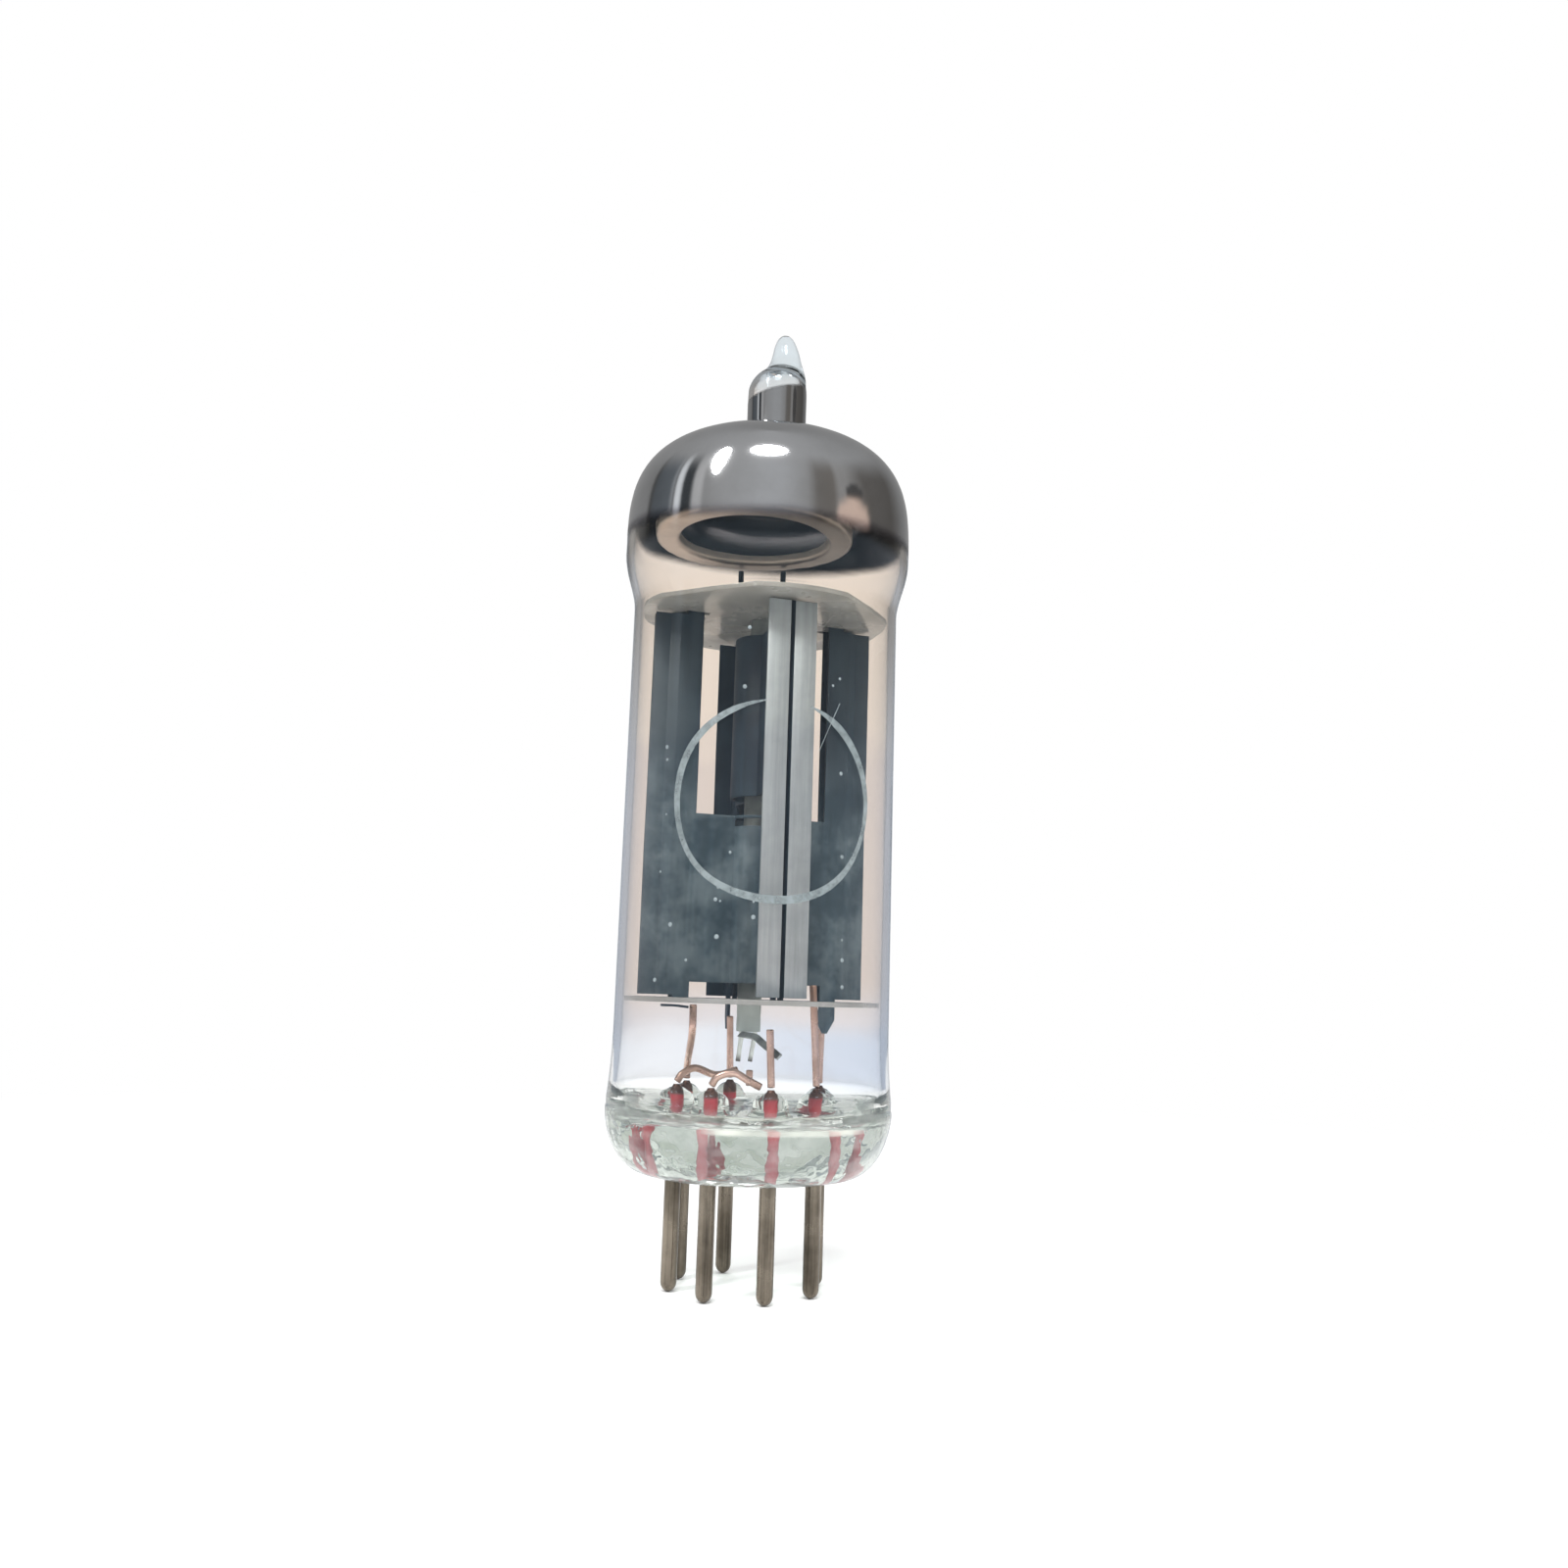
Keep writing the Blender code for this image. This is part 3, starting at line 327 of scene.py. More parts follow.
def makeGlass():
    # clear glass: thick parts go grey-green, and the wall's tint changes on the way up
    look = dict(
        shine=(0.34, 0.44, 0.54), shadow=(0.93, 0.95, 0.94), tint=(0.46, 0.56, 0.48), density=60.0,
        # painted shade: low down, the wall goes darker and bluer towards its right side
        low=(0.95, 0.96, 0.985), lowRight=(0.83, 0.865, 0.93), lowFade=5.0 * mm,
        # the wall's tones from the base up to the drawn tip: colour, and between which heights in mm it comes in
        tones=[((0.895, 0.875, 0.885), 15.0, 16.5), ((0.872, 0.812, 0.775), 16.0, 19.5),
               ((0.93, 0.865, 0.805), 33.6, 35.4), ((0.93, 0.90, 0.88), 47.5, 52.0),
               ((0.765, 0.825, 0.87), 59.8, 61.0)], wander=5.0 * mm, scale=90.0,
        # painted shade: the glass turns greyer towards its edges, from further in on the tip
        grazing=(0.50, 0.53, 0.57), grazingFrom=0.78, tipGrazingFrom=0.45,
        # painted shade: a dark outline along the bulb's edges
        outline=0.55, outlineTone=(0.20, 0.225, 0.25), outlineFrom=0.8, outlineTo=0.97,
        # the pressed base: its tone, pale streaks painted in as light refracted in its glass, and a painted
        # highlight on a ledge below the rim
        pressed=(0.825, 0.83, 0.815), pressedTo=(11.6 * mm, 13.2 * mm, 0.3 * mm, 300.0),
        lumpyTo=(11.1 * mm, 11.7 * mm, 0.3 * mm, 300.0), lumps=7.0, lumpScale=480.0, waveScale=260.0, relief=0.12,
        milk=(0.66, 0.68, 0.665), milkFrom=6.0 * mm, milkTo=7.2 * mm, milkShare=(0.03, 0.26), milkScale=380.0,
        ledge=rimZ - 0.75 * mm, ledgeTone=(0.82, 0.83, 0.76), ledgeFrom=3.4 * mm, ledgeTo=6.4 * mm,
        ledgeHalf=(0.06 * mm, 0.34 * mm), patchShare=(0.3, 0.66), patchScale=240.0)
    material, shader, coords = startMaterial("bulbGlass")
    tree = material.node_tree
    split = addSplit(coords)
    x, z = split[0], split[2]
    facing = addNode(tree, "ShaderNodeLayerWeight", {"Blend": 0.5})["Facing"]

    # the tint of the wall, up to the drawn tip; low down it goes darker and bluer towards the right as painted
    # shade
    shadeToRight = addRange(x, -look["lowFade"], look["lowFade"], smooth=True)
    color = addMix(shadeToRight, look["low"], look["lowRight"])
    for tone, low, high in look["tones"]:
        onTip = addBand(coords, low * mm, high * mm, look["wander"], look["scale"])  # the tip's comes last
        color = addMix(onTip, color, tone)
    color = addMix(addBand(coords, *look["pressedTo"]), look["pressed"], color)
    # painted shade: greyer towards the glass's edges
    rimFrom = addRange(onTip, 0.0, 1.0, look["grazingFrom"], look["tipGrazingFrom"])
    rim = addRange(facing, rimFrom, 1.0, smooth=True)
    connect(shader.inputs, {
        "Base Color": addMix(rim, color, look["grazing"]), "Roughness": 0.0, "IOR": 1.5,
        "Specular Tint": look["shine"], "Transmission Weight": 1.0})

    # waves of the blown wall, and lumps of the pressed base
    aboveBase = addBand(coords, *look["lumpyTo"])
    waves = addNoise(addStretch(coords, (1.0, 1.0, 0.22)), look["waveScale"], 2.0, 0.45)
    lumpHeight = addRange(aboveBase, 0.0, 1.0, look["lumps"], 0.0)
    lumps = times(addNoise(coords, look["lumpScale"], 2.0, 0.5), lumpHeight)
    addBump(shader, plus(waves, lumps), look["relief"], 0.2 * mm)

    # a diffuse share of painted light and shade: pale streaks and a painted highlight on a ledge in the base, and
    # a painted dark outline round the whole bulb
    out = addLength(addStretch(coords, (1.0, 1.0, 0.0)))
    underside = addRange(z, seatZ + 0.1 * mm, seatZ + 0.4 * mm, 1.0, 0.0)
    outer = larger(addRange(out, look["milkFrom"], look["milkTo"]), underside)
    clouds = addNoise(addStretch(coords, (1.0, 1.0, 2.5)), look["milkScale"], 3.0, 0.6)
    streaks = times(addRange(clouds, 0.38, 0.68, *look["milkShare"]), outer)
    # painted highlight: a patchy pale band round the base below the rim, fading out to the sides
    level = addMath("ABSOLUTE", minus(z, look["ledge"]))
    middle = addRange(addMath("ABSOLUTE", x), look["ledgeFrom"], look["ledgeTo"], 1.0, 0.0, smooth=True)
    height = addRange(level, *look["ledgeHalf"], 1.0, 0.0, smooth=True)
    ledge = times(height, times(outer, middle))
    patches = addRange(addNoise(coords, look["patchScale"], 3.0, 0.5), 0.35, 0.6, *look["patchShare"])
    streaks = larger(streaks, times(ledge, patches))
    streaks = times(streaks, addRange(aboveBase, 0.0, 1.0, 1.0, 0.0))
    # painted shade: the dark outline
    outline = addRange(facing, look["outlineFrom"], look["outlineTo"], 0.0, look["outline"], smooth=True)
    soft = addMix(ledge, look["milk"], look["ledgeTone"])
    soft = addMix(addMath("GREATER_THAN", outline, streaks), soft, look["outlineTone"])
    milk = addNode(tree, "ShaderNodeBsdfDiffuse", {"Color": soft})[0]
    glass = addShaderMix(larger(streaks, outline), shader.outputs[0], milk)

    # soft light and shadows pass straight through
    clear = addNode(tree, "ShaderNodeBsdfTransparent", {0: look["shadow"]})[0]
    path = addNode(tree, "ShaderNodeLightPath")
    passing = larger(path["Is Shadow Ray"], path["Is Diffuse Ray"])
    absorb = addNode(tree, "ShaderNodeVolumeAbsorption", {"Color": look["tint"], "Density": look["density"]})[0]
    connect(tree.nodes["Material Output"].inputs, {
        "Surface": addShaderMix(passing, glass, clear), "Volume": absorb})
    return material


# the getter's film from outside, and its dark inner face
films = {
    "getterMirror": dict(clean=(0.56, 0.565, 0.575), stained=(0.44, 0.44, 0.44), edge=(0.40, 0.39, 0.42),
                         scale=160.0, amount=0.5, smooth=0.07, rough=0.13),
    "getterMirrorBack": dict(clean=(0.10, 0.112, 0.14), stained=(0.045, 0.052, 0.066), edge=(0.15, 0.15, 0.17),
                             scale=160.0, amount=0.5, smooth=0.12, rough=0.25),
}


def makeFilm(name, look):
    # its edge tone shows where it thins out below, it is gone where the drawn tip starts, and it is dimmed on the
    # neck as painted shade
    fade = dict(band=(48.0 * mm, 49.4 * mm, 0.8 * mm, 110.0), lean=-0.11,
                tipX=0.6 * mm, tipFall=190.0, tipMost=1.2 * mm, tipLean=-0.17,
                tipLow=60.2 * mm, tipHigh=60.55 * mm, neckLow=55.7 * mm, neckHigh=56.6 * mm, neckShare=0.8)
    material, shader, coords, cloud = startStained(name, look)
    tree = material.node_tree
    x, y, z = addSplit(coords)
    # the lower edge is higher at the back than at the front
    leaning = addNode(tree, "ShaderNodeCombineXYZ", {0: x, 1: y, 2: plus(z, times(y, fade["lean"]))})[0]
    mirror = addBand(leaning, *fade["band"])
    across = minus(x, fade["tipX"])
    squares = plus(times(across, across), times(y, y))
    dip = addMath("MINIMUM", times(squares, fade["tipFall"]), fade["tipMost"])
    height = plus(z, plus(dip, times(across, fade["tipLean"])))
    ended = addRange(height, fade["tipLow"], fade["tipHigh"], 1.0, 0.0, smooth=True)
    # painted shade: the film is dimmed on the neck
    neckShade = addRange(z, fade["neckLow"], fade["neckHigh"], 1.0, fade["neckShare"], smooth=True)
    color = addMix(addRange(mirror, 0.3, 1.0), look["edge"], cloud["Color"])
    connect(shader.inputs, {
        "Base Color": addDimmed(color, neckShade), "Metallic": 1.0,
        "Alpha": times(addRange(mirror, 0.0, 0.8), ended)})
    return material


def makeMica():
    look = dict(clean=(0.305, 0.302, 0.300), stained=(0.21, 0.208, 0.204), scale=220.0, amount=0.8, smooth=0.22,
                rough=0.5, flake=(0.46, 0.46, 0.45), flakeScale=900.0, flakeShare=0.5)
    material, shader, coords, stain = startStained("micaSheet", look)
    cells = addNode(material.node_tree, "ShaderNodeTexVoronoi", {
        "Scale": look["flakeScale"], "Vector": addStretch(coords, (1.0, 0.55, 1.0))})["Distance"]
    flakes = times(addRange(cells, 0.0, 0.16, 1.0, 0.0, smooth=True), look["flakeShare"])
    connect(shader.inputs, {
        "Base Color": addMix(flakes, stain["Color"], look["flake"]), "Coat Weight": 0.35,
        "Coat Roughness": 0.12, "Subsurface Weight": 0.12, "Subsurface Radius": (0.0008, 0.0008, 0.0006)})
    addBump(shader, stain["Height"], 0.08, 0.03 * mm)
    return material


def makeSeal():
    # deep red under the glass, duller low down, and brown where the wire comes out of its bead
    look = dict(clean=(0.50, 0.045, 0.055), stained=(0.27, 0.02, 0.026), scale=700.0, amount=0.7, smooth=0.2,
                rough=0.4, dull=(0.34, 0.10, 0.115), brightFrom=(9.4 * mm, 10.6 * mm, 0.5 * mm, 700.0),
                brown=(0.13, 0.065, 0.045), bareFrom=(11.3 * mm, 11.7 * mm, 0.6 * mm, 900.0), bareMetal=0.6)
    material, shader, coords, stain = startStained("redSeal", look)
    bare = addBand(coords, *look["bareFrom"])
    red = addMix(addBand(coords, *look["brightFrom"]), look["dull"], stain["Color"])
    connect(shader.inputs, {
        "Base Color": addMix(bare, red, look["brown"]), "Metallic": times(bare, look["bareMetal"])})
    addBump(shader, stain["Height"], 0.15, fineRelief)
    return material


# chalky sprayed coats, with another tone below a height; the sleeve's coat is given a dark tone as painted shade,
# for it sits inside the plates
coatings = {
    # painted shade: the sleeve's coat is darkened; below the plates it is bare and lighter
    "sleeveCoatInShade": dict(clean=(0.17, 0.19, 0.19), stained=(0.09, 0.10, 0.105), scale=500.0, amount=0.8,
                       smooth=0.6, rough=0.85, end=(0.42, 0.45, 0.43),
                       band=(17.2 * mm, 19.0 * mm, 0.5 * mm, 600.0)),
    "heaterCoat": dict(clean=(0.80, 0.80, 0.77), stained=(0.62, 0.61, 0.57), scale=900.0, amount=0.6,
                       smooth=0.6, rough=0.85, end=(0.12, 0.10, 0.09),
                       band=(13.95 * mm, 14.5 * mm, 0.5 * mm, 600.0)),
}


def makeCoating(name, look):
    material, shader, coords, stain = startStained(name, look)
    color = addMix(addBand(coords, *look["band"]), look["end"], stain["Color"])
    connect(shader.inputs, {"Base Color": color})
    addBump(shader, stain["Height"], 0.5, fineRelief)
    return material


def makeInk():
    # a worn one-colour stamp: pale grey with thin places
    look = dict(clean=(0.225, 0.265, 0.275), stained=(0.14, 0.17, 0.18), scale=900.0, amount=0.8, smooth=0.5,
                rough=0.8, wornScale=1500.0, cover=(0.4, 0.88))
    material, shader, coords = startStained("stampInk", look)[:3]
    worn = addNoise(coords, look["wornScale"], 4.0, 0.7)
    connect(shader.inputs, {"Alpha": addRange(worn, 0.3, 0.55, *look["cover"])})
    return material


def makeSpeck():
    look = dict(clean=(0.22, 0.26, 0.275), stained=(0.13, 0.155, 0.17), scale=3000.0, amount=0.7, smooth=0.3,
                rough=0.7)
    return startStained("dustSpeck", look)[0]


finish.update({name: makeFilm(name, look) for name, look in films.items()})
finish.update({name: makeCoating(name, look) for name, look in coatings.items()})
for make in (makeGlass, makeMica, makeSeal, makeInk, makeSpeck):
    material = make()
    finish[material.name] = material
print("materials made:", len(finish))


# mesh helpers
def newObject(name, mesh):
    piece = bpy.data.objects.new(name, mesh)
    bpy.context.scene.collection.objects.link(piece)
    return piece


def quarter(steps, first=0):
    # sine and cosine of even steps through a quarter turn
    return [(sin(pi / 2 * i / steps), cos(pi / 2 * i / steps)) for i in range(first, steps + 1)]


def latheMesh(name, stations, sides, closed=False, startAngle=0.0, skin=False):
    # stations are (radius, z) or (radius, z, x offset); radius 0 closes a pole
    builder = bmesh.new()
    rings = []
    for radius, z, *offset in stations:
        x0 = offset[0] if offset else 0.0
        count = sides if radius > 0 else 1
        turns = [startAngle + 2 * pi * i / sides for i in range(count)]
        rings.append([builder.verts.new((x0 + radius * cos(a), radius * sin(a), z)) for a in turns])
    pairs = list(zip(rings, rings[1:]))
    if closed:
        pairs.append((rings[-1], rings[0]))
    for low, high in pairs:
        if len(low) == 1 and len(high) == 1:
            continue
        for i in range(sides):
            j = (i + 1) % sides
            corners = [low[i % len(low)], low[j % len(low)], high[j % len(high)], high[i % len(high)]]
            builder.faces.new(list(dict.fromkeys(corners)))
    bmesh.ops.recalc_face_normals(builder, faces=builder.faces)
    if skin:  # open at both ends: its normals point away from the axis
        face = max(builder.faces, key=lambda f: f.calc_center_median().xy.length)
        if face.normal.xy.dot(face.calc_center_median().xy) < 0:
            bmesh.ops.reverse_faces(builder, faces=builder.faces)
    mesh = bpy.data.meshes.new(name)
    builder.to_mesh(mesh)
    builder.free()
    return mesh


def smoothRoute(points, steps):
    # a curve through all the points, whatever their number of coordinates
    points = [Vector(p) for p in points]
    ends = [2 * points[0] - points[1], *points, 2 * points[-1] - points[-2]]
    route = []
    for a, b, c, d in zip(ends, ends[1:], ends[2:], ends[3:]):
        bend, twist = 2 * a - 5 * b + 4 * c - d, 3 * b - 3 * c + d - a
        for t in (i / steps for i in range(steps)):
            route.append(0.5 * (2 * b + (c - a) * t + bend * t**2 + twist * t**3))
    route.append(points[-1])
    return route


def shadeByAngle(mesh, angle=40):
    mesh.shade_smooth()
    mesh.set_sharp_from_angle(angle=radians(angle))


def settle(piece):
    # modifiers become plain mesh
    graph = bpy.context.evaluated_depsgraph_get()
    graph.update()
    mesh = bpy.data.meshes.new_from_object(piece.evaluated_get(graph))
    piece.modifiers.clear()
    piece.data = mesh
    mesh.name = piece.name
    return piece


def roundEdges(piece, width, angle):
    rounding = piece.modifiers.new("rounding", "BEVEL")
    rounding.width = width
    rounding.segments = 2
    rounding.limit_method = "ANGLE"
    rounding.angle_limit = radians(angle)
    return settle(piece)


def thicken(piece, thickness, innerMaterial=0):
    wall = piece.modifiers.new("wall", "SOLIDIFY")
    wall.thickness = thickness
    wall.offset = 0.0
    wall.material_offset = innerMaterial
    return settle(piece)


def combine(piece, tool, operation):
    change = piece.modifiers.new(tool.name, "BOOLEAN")
    change.object = tool
    change.operation = operation
    change.solver = "EXACT"
    return settle(piece)


def finishPiece(piece, *nodes, slot=None):
    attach(piece, "root")
    if nodes:
        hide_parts(*nodes)
    return piece


# Geometry Nodes: wires, the pin circle, dots
def startGeometry(name, inputs):
    inputs = [("Geometry", "Geometry", None), *inputs, ("Material", "Material", None)]
    return newTree("GeometryNodeTree", name, inputs, [("Geometry", "Geometry")])


def endGeometry(tree, geometry, source, target):
    real = addNode(tree, "GeometryNodeRealizeInstances", {"Geometry": geometry})[0]
    painted = addNode(tree, "GeometryNodeSetMaterial", {"Geometry": real, "Material": source["Material"]})[0]
    connect(target, {"Geometry": painted})
    return tree


def makeWireTree():
    # a round wire along a line of edges
    tree, source, target = startGeometry("wireAlongLine", [
        ("Wire Radius", "Float", 0.23 * mm), ("Sides", "Int", 16)])
    line = addNode(tree, "GeometryNodeMeshToCurve", {"Mesh": source["Geometry"]})[0]
    profile = addNode(tree, "GeometryNodeCurvePrimitiveCircle", {
        "Resolution": source["Sides"], "Radius": source["Wire Radius"]})[0]
    wire = addNode(tree, "GeometryNodeCurveToMesh", {
        "Curve": line, "Profile Curve": profile, "Fill Caps": True})[0]
    return endGeometry(tree, wire, source, target)


def makeCrownTree():
    # copies a piece to the places of a pin circle, one place left empty
    tree, source, target = startGeometry("pinCrown", [
        ("Circle Radius", "Float", 4.7625 * mm), ("Places", "Int", 8), ("Empty Place", "Int", 1)])
    circle = addNode(tree, "GeometryNodeMeshCircle", {
        "Vertices": source["Places"], "Radius": source["Circle Radius"]})[0]
    index = addNode(tree, "GeometryNodeInputIndex")[0]
    kept = addNode(tree, "FunctionNodeCompare", {2: index, 3: source["Empty Place"]},
                   data_type="INT", operation="NOT_EQUAL")[0]
    copies = addNode(tree, "GeometryNodeInstanceOnPoints", {
        "Points": circle, "Selection": kept, "Instance": source["Geometry"]})[0]
    return endGeometry(tree, copies, source, target)


def makeDotTree():
    # small flattened dots that sit on given points, turned to their normals
    tree, source, target = startGeometry("dotsOnPoints", [
        ("Dot Radius", "Float", 0.1 * mm), ("Flatness", "Float", 0.3), ("Least Size", "Float", 0.6),
        ("Seed", "Int", 4)])
    ball = addNode(tree, "GeometryNodeMeshIcoSphere", {"Radius": source["Dot Radius"], "Subdivisions": 2})[0]
    flat = addNode(tree, "ShaderNodeCombineXYZ", {0: 1.0, 1: 1.0, 2: source["Flatness"]})[0]
    dot = addNode(tree, "GeometryNodeTransform", {"Geometry": ball, "Scale": flat})[0]
    smooth = addNode(tree, "GeometryNodeSetShadeSmooth", {"Geometry": dot})[0]
    facing = addNode(tree, "GeometryNodeInputNamedAttribute", {"Name": "facing"}, data_type="FLOAT_VECTOR")[0]
    turn = addNode(tree, "FunctionNodeAlignEulerToVector", {"Vector": facing}, axis="Z")[0]
    size = addNode(tree, "FunctionNodeRandomValue", {2: source["Least Size"], 3: 1.0, "Seed": source["Seed"]},
                   data_type="FLOAT")[1]
    copies = addNode(tree, "GeometryNodeInstanceOnPoints", {
        "Points": source["Geometry"], "Instance": smooth, "Rotation": turn, "Scale": size})[0]
    return endGeometry(tree, copies, source, target)


wireTree = makeWireTree()
crownTree = makeCrownTree()
dotTree = makeDotTree()


def applyTree(piece, tree, **values):
    # inputs are set by the identifiers of their sockets, and labels are given without spaces
    modifier = piece.modifiers.new(tree.name, "NODES")
    modifier.node_group = tree
    names = {item.name.replace(" ", ""): item.identifier for item in tree.interface.items_tree
             if getattr(item, "in_out", "") == "INPUT"}
    for label, value in values.items():
        modifier[names[label]] = value
    return settle(piece)


def crown(piece, material):
    # one copy at each pin's place
    return applyTree(piece, crownTree, CircleRadius=pinCircle, Places=8, EmptyPlace=1, Material=finish[material])


def addWire(name, points, radius, material, *nodes, steps=10, sides=18, slot=None):
    route = smoothRoute(points, steps)
    line = bpy.data.meshes.new(name)
    line.from_pydata([tuple(p) for p in route], [(i, i + 1) for i in range(len(route) - 1)], [])
    piece = newObject(name, line)
    applyTree(piece, wireTree, WireRadius=radius, Sides=sides, Material=finish[material])
    shadeByAngle(piece.data, 50)
    roundEdges(piece, radius * 0.3, 60)
    return finishPiece(piece, *nodes, slot=slot)


# glass: one fused body, with its beads, rim, dome and drawn tip
bulb = dict(
    sides=96, wall=0.45 * mm, radius=8.85 * mm, flare=0.3 * mm, flareHeight=5.0 * mm,
    seatRadius=6.3 * mm, lipWidth=0.75 * mm, lipHeight=0.55 * mm, rimGroove=0.07 * mm, rimBelow=0.15 * mm,
    bulge=0.75 * mm, bulgeHeight=3.8 * mm, domeHeight=8.2 * mm, squareness=0.58,
    neckRadius=2.03 * mm, neckWall=0.35 * mm, neckFillet=1.0 * mm, neckOffset=0.3 * mm, neckHeight=2.6 * mm,
    beadRadius=1.1 * mm, beadFoot=0.4 * mm, footRadius=0.92 * mm, lobes=0.07 * mm, lobeHeight=1.6 * mm,
    hollowRadius=5.95 * mm, hollowDepth=1.5 * mm, hollowRound=0.75 * mm, floorRound=1.3 * mm,
    # the drawn tip and its hollow: height above the seat, radius, how far off the axis, all in mm
    tip=[(52.6, 2.03, 0.30), (53.24, 1.96, 0.33), (53.86, 1.76, 0.50), (54.45, 1.38, 0.76), (55.05, 1.12, 0.84),
         (55.7, 0.95, 0.85), (56.27, 0.80, 0.81), (56.8, 0.58, 0.78), (57.08, 0.33, 0.77)], tipTop=57.17 * mm,
    cavity=[(52.6, 1.68, 0.30), (53.2, 1.60, 0.33), (53.7, 1.42, 0.42), (54.1, 1.05, 0.56), (54.32, 0.6, 0.64)],
    cavityTop=54.4 * mm,
)
skirtZ = rimZ - bulb["rimBelow"]
floorZ = skirtZ - bulb["lipHeight"]


def wallRadius(z):
    share = max(0.0, 1 - (z - rimZ) / bulb["flareHeight"])
    return bulb["radius"] + bulb["flare"] * share**2


def bulbSide(inset):
    # from above the rim to the dome's crown, drawn in by the wall
    levels = [rimZ + bulb["flareHeight"] * i / 10 for i in range(1, 11)]
    side = [(wallRadius(z) - inset, z) for z in levels]
    for t in (i / 9 for i in range(9)):
        swell = bulb["bulge"] * (3 * t**2 - 2 * t**3)
        side.append((bulb["radius"] - inset + swell, bulgeZ + bulb["bulgeHeight"] * t))
    domeZ = bulgeZ + bulb["bulgeHeight"]
    widest = bulb["radius"] + bulb["bulge"] - inset
    for s, c in quarter(26):
        radius = widest * max(c, 0.0) ** bulb["squareness"]
        if radius > bulb["neckRadius"] + bulb["neckFillet"]:
            side.append((radius, domeZ + (bulb["domeHeight"] - inset) * s ** bulb["squareness"]))
    return side, domeZ + bulb["domeHeight"]


def drawnPart(radius, neckZ, route, top, steps):
    # from the neck to the closed end
    points = [(radius, neckZ + bulb["neckHeight"], bulb["neckOffset"])]
    points += [(r * mm, seatZ + height * mm, x * mm) for height, r, x in route]
    return [*(tuple(p) for p in smoothRoute(points, steps)), (0.0, seatZ + top, points[-1][2])]


def bulbOutside():
    seat, rim, groove = bulb["seatRadius"], bulb["radius"] + bulb["flare"], bulb["rimGroove"]
    hollow, roof, bend = bulb["hollowRadius"], seatZ + bulb["hollowDepth"], bulb["hollowRound"]
    outline = [(0.0, roof), (hollow - 0.9 * mm, roof - 0.05 * mm)]
    outline += [(hollow - 0.9 * mm + bend * s, roof - 0.8 * mm + bend * c) for s, c in quarter(5, 1)]
    outline += [(hollow - 0.05 * mm, seatZ + 0.2 * mm), (hollow + 0.02 * mm, seatZ + 0.06 * mm),
                (hollow + 0.12 * mm, seatZ), (seat - 0.1 * mm, seatZ)]
    outline += [(seat + (rim - seat) * s, skirtZ - (skirtZ - seatZ) * c) for s, c in quarter(16, 1)]
    outline += [(rim - groove * 0.3, skirtZ + 0.12 * mm), (rim - groove, skirtZ + 0.25 * mm),
                (rim - groove * 0.9, skirtZ + 0.4 * mm)]
    side, neckZ = bulbSide(0.0)
    neck, fillet = bulb["neckRadius"], bulb["neckFillet"]
    outline += side
    outline += [(neck + fillet * (1 - s), neckZ + fillet * (1 - c), bulb["neckOffset"] * s) for s, c in quarter(8)]
    return outline + drawnPart(neck, neckZ, bulb["tip"], bulb["tipTop"], 4)


def bulbInside():
    bend = bulb["floorRound"]
    flat = bulb["radius"] + bulb["flare"] - bulb["lipWidth"] - bend
    outline = [(0.0, floorZ), (flat, floorZ)]
    outline += [(flat + bend * s, floorZ + 1.1 * mm * (1 - c)) for s, c in quarter(6, 1)]
    side, neckZ = bulbSide(bulb["wall"])
    bore, fillet = bulb["neckRadius"] - bulb["neckWall"], bulb["neckFillet"]
    outline += [p for p in side if p[1] > floorZ + bend]
    for s, c in quarter(6, 1):
        z = neckZ - bulb["wall"] + fillet * 1.3 * (1 - c)
        outline.append((bore + fillet * 1.2 * (1 - s), z, bulb["neckOffset"] * s))
    return outline + drawnPart(bore, neckZ, bulb["cavity"], bulb["cavityTop"], 3)


def beadMesh():
    # a domed bead whose foot flows into the floor
    radius, foot, height = bulb["beadRadius"], bulb["beadFoot"], stemHigh.z - floorZ
    outline = [(0.0, floorZ - 0.6 * mm), (radius + foot, floorZ - 0.6 * mm), (radius + foot, floorZ - 0.02 * mm)]
    fillet = ((0.55, 0.03), (0.25, 0.09), (0.08, 0.18))
    outline += [(radius + foot * share, floorZ + height * up) for share, up in fillet]
    outline += [(radius * c**0.8, floorZ + height * (0.26 + 0.74 * s)) for s, c in quarter(12, 1)[:-1]]
    return latheMesh("bead", [*outline, (0.0, stemHigh.z)], 32)


def footMesh():
    # the glass that comes down round each pin on the underside
    deep = bulb["hollowDepth"]
    outline = [(0.0, 0.03 * mm), (0.62, 0.03 * mm), (0.82, 0.12 * mm), (0.94, 0.32 * mm), (1.0, 0.7 * mm),
               (1.04, 1.2 * mm), (1.2, deep), (1.2, deep + 0.4 * mm), (0.0, deep + 0.4 * mm)]
    return latheMesh("foot", [(bulb["footRadius"] * share, seatZ + up) for share, up in outline], 32)


def swellBase(mesh):
    # the pressed base swells a little beside each pin
    for vert in mesh.vertices:
        x, y, z = vert.co
        out, turn = sqrt(x * x + y * y), atan2(y, x)
        reach = max(0.0, min(1.0, (rimZ - z) / bulb["lobeHeight"])) * min(1.0, out / (6 * mm)) ** 3
        swell = bulb["lobes"] * reach * (cos(8 * turn) - 1) / 2
        vert.co.x += swell * cos(turn)
        vert.co.y += swell * sin(turn)
    return mesh


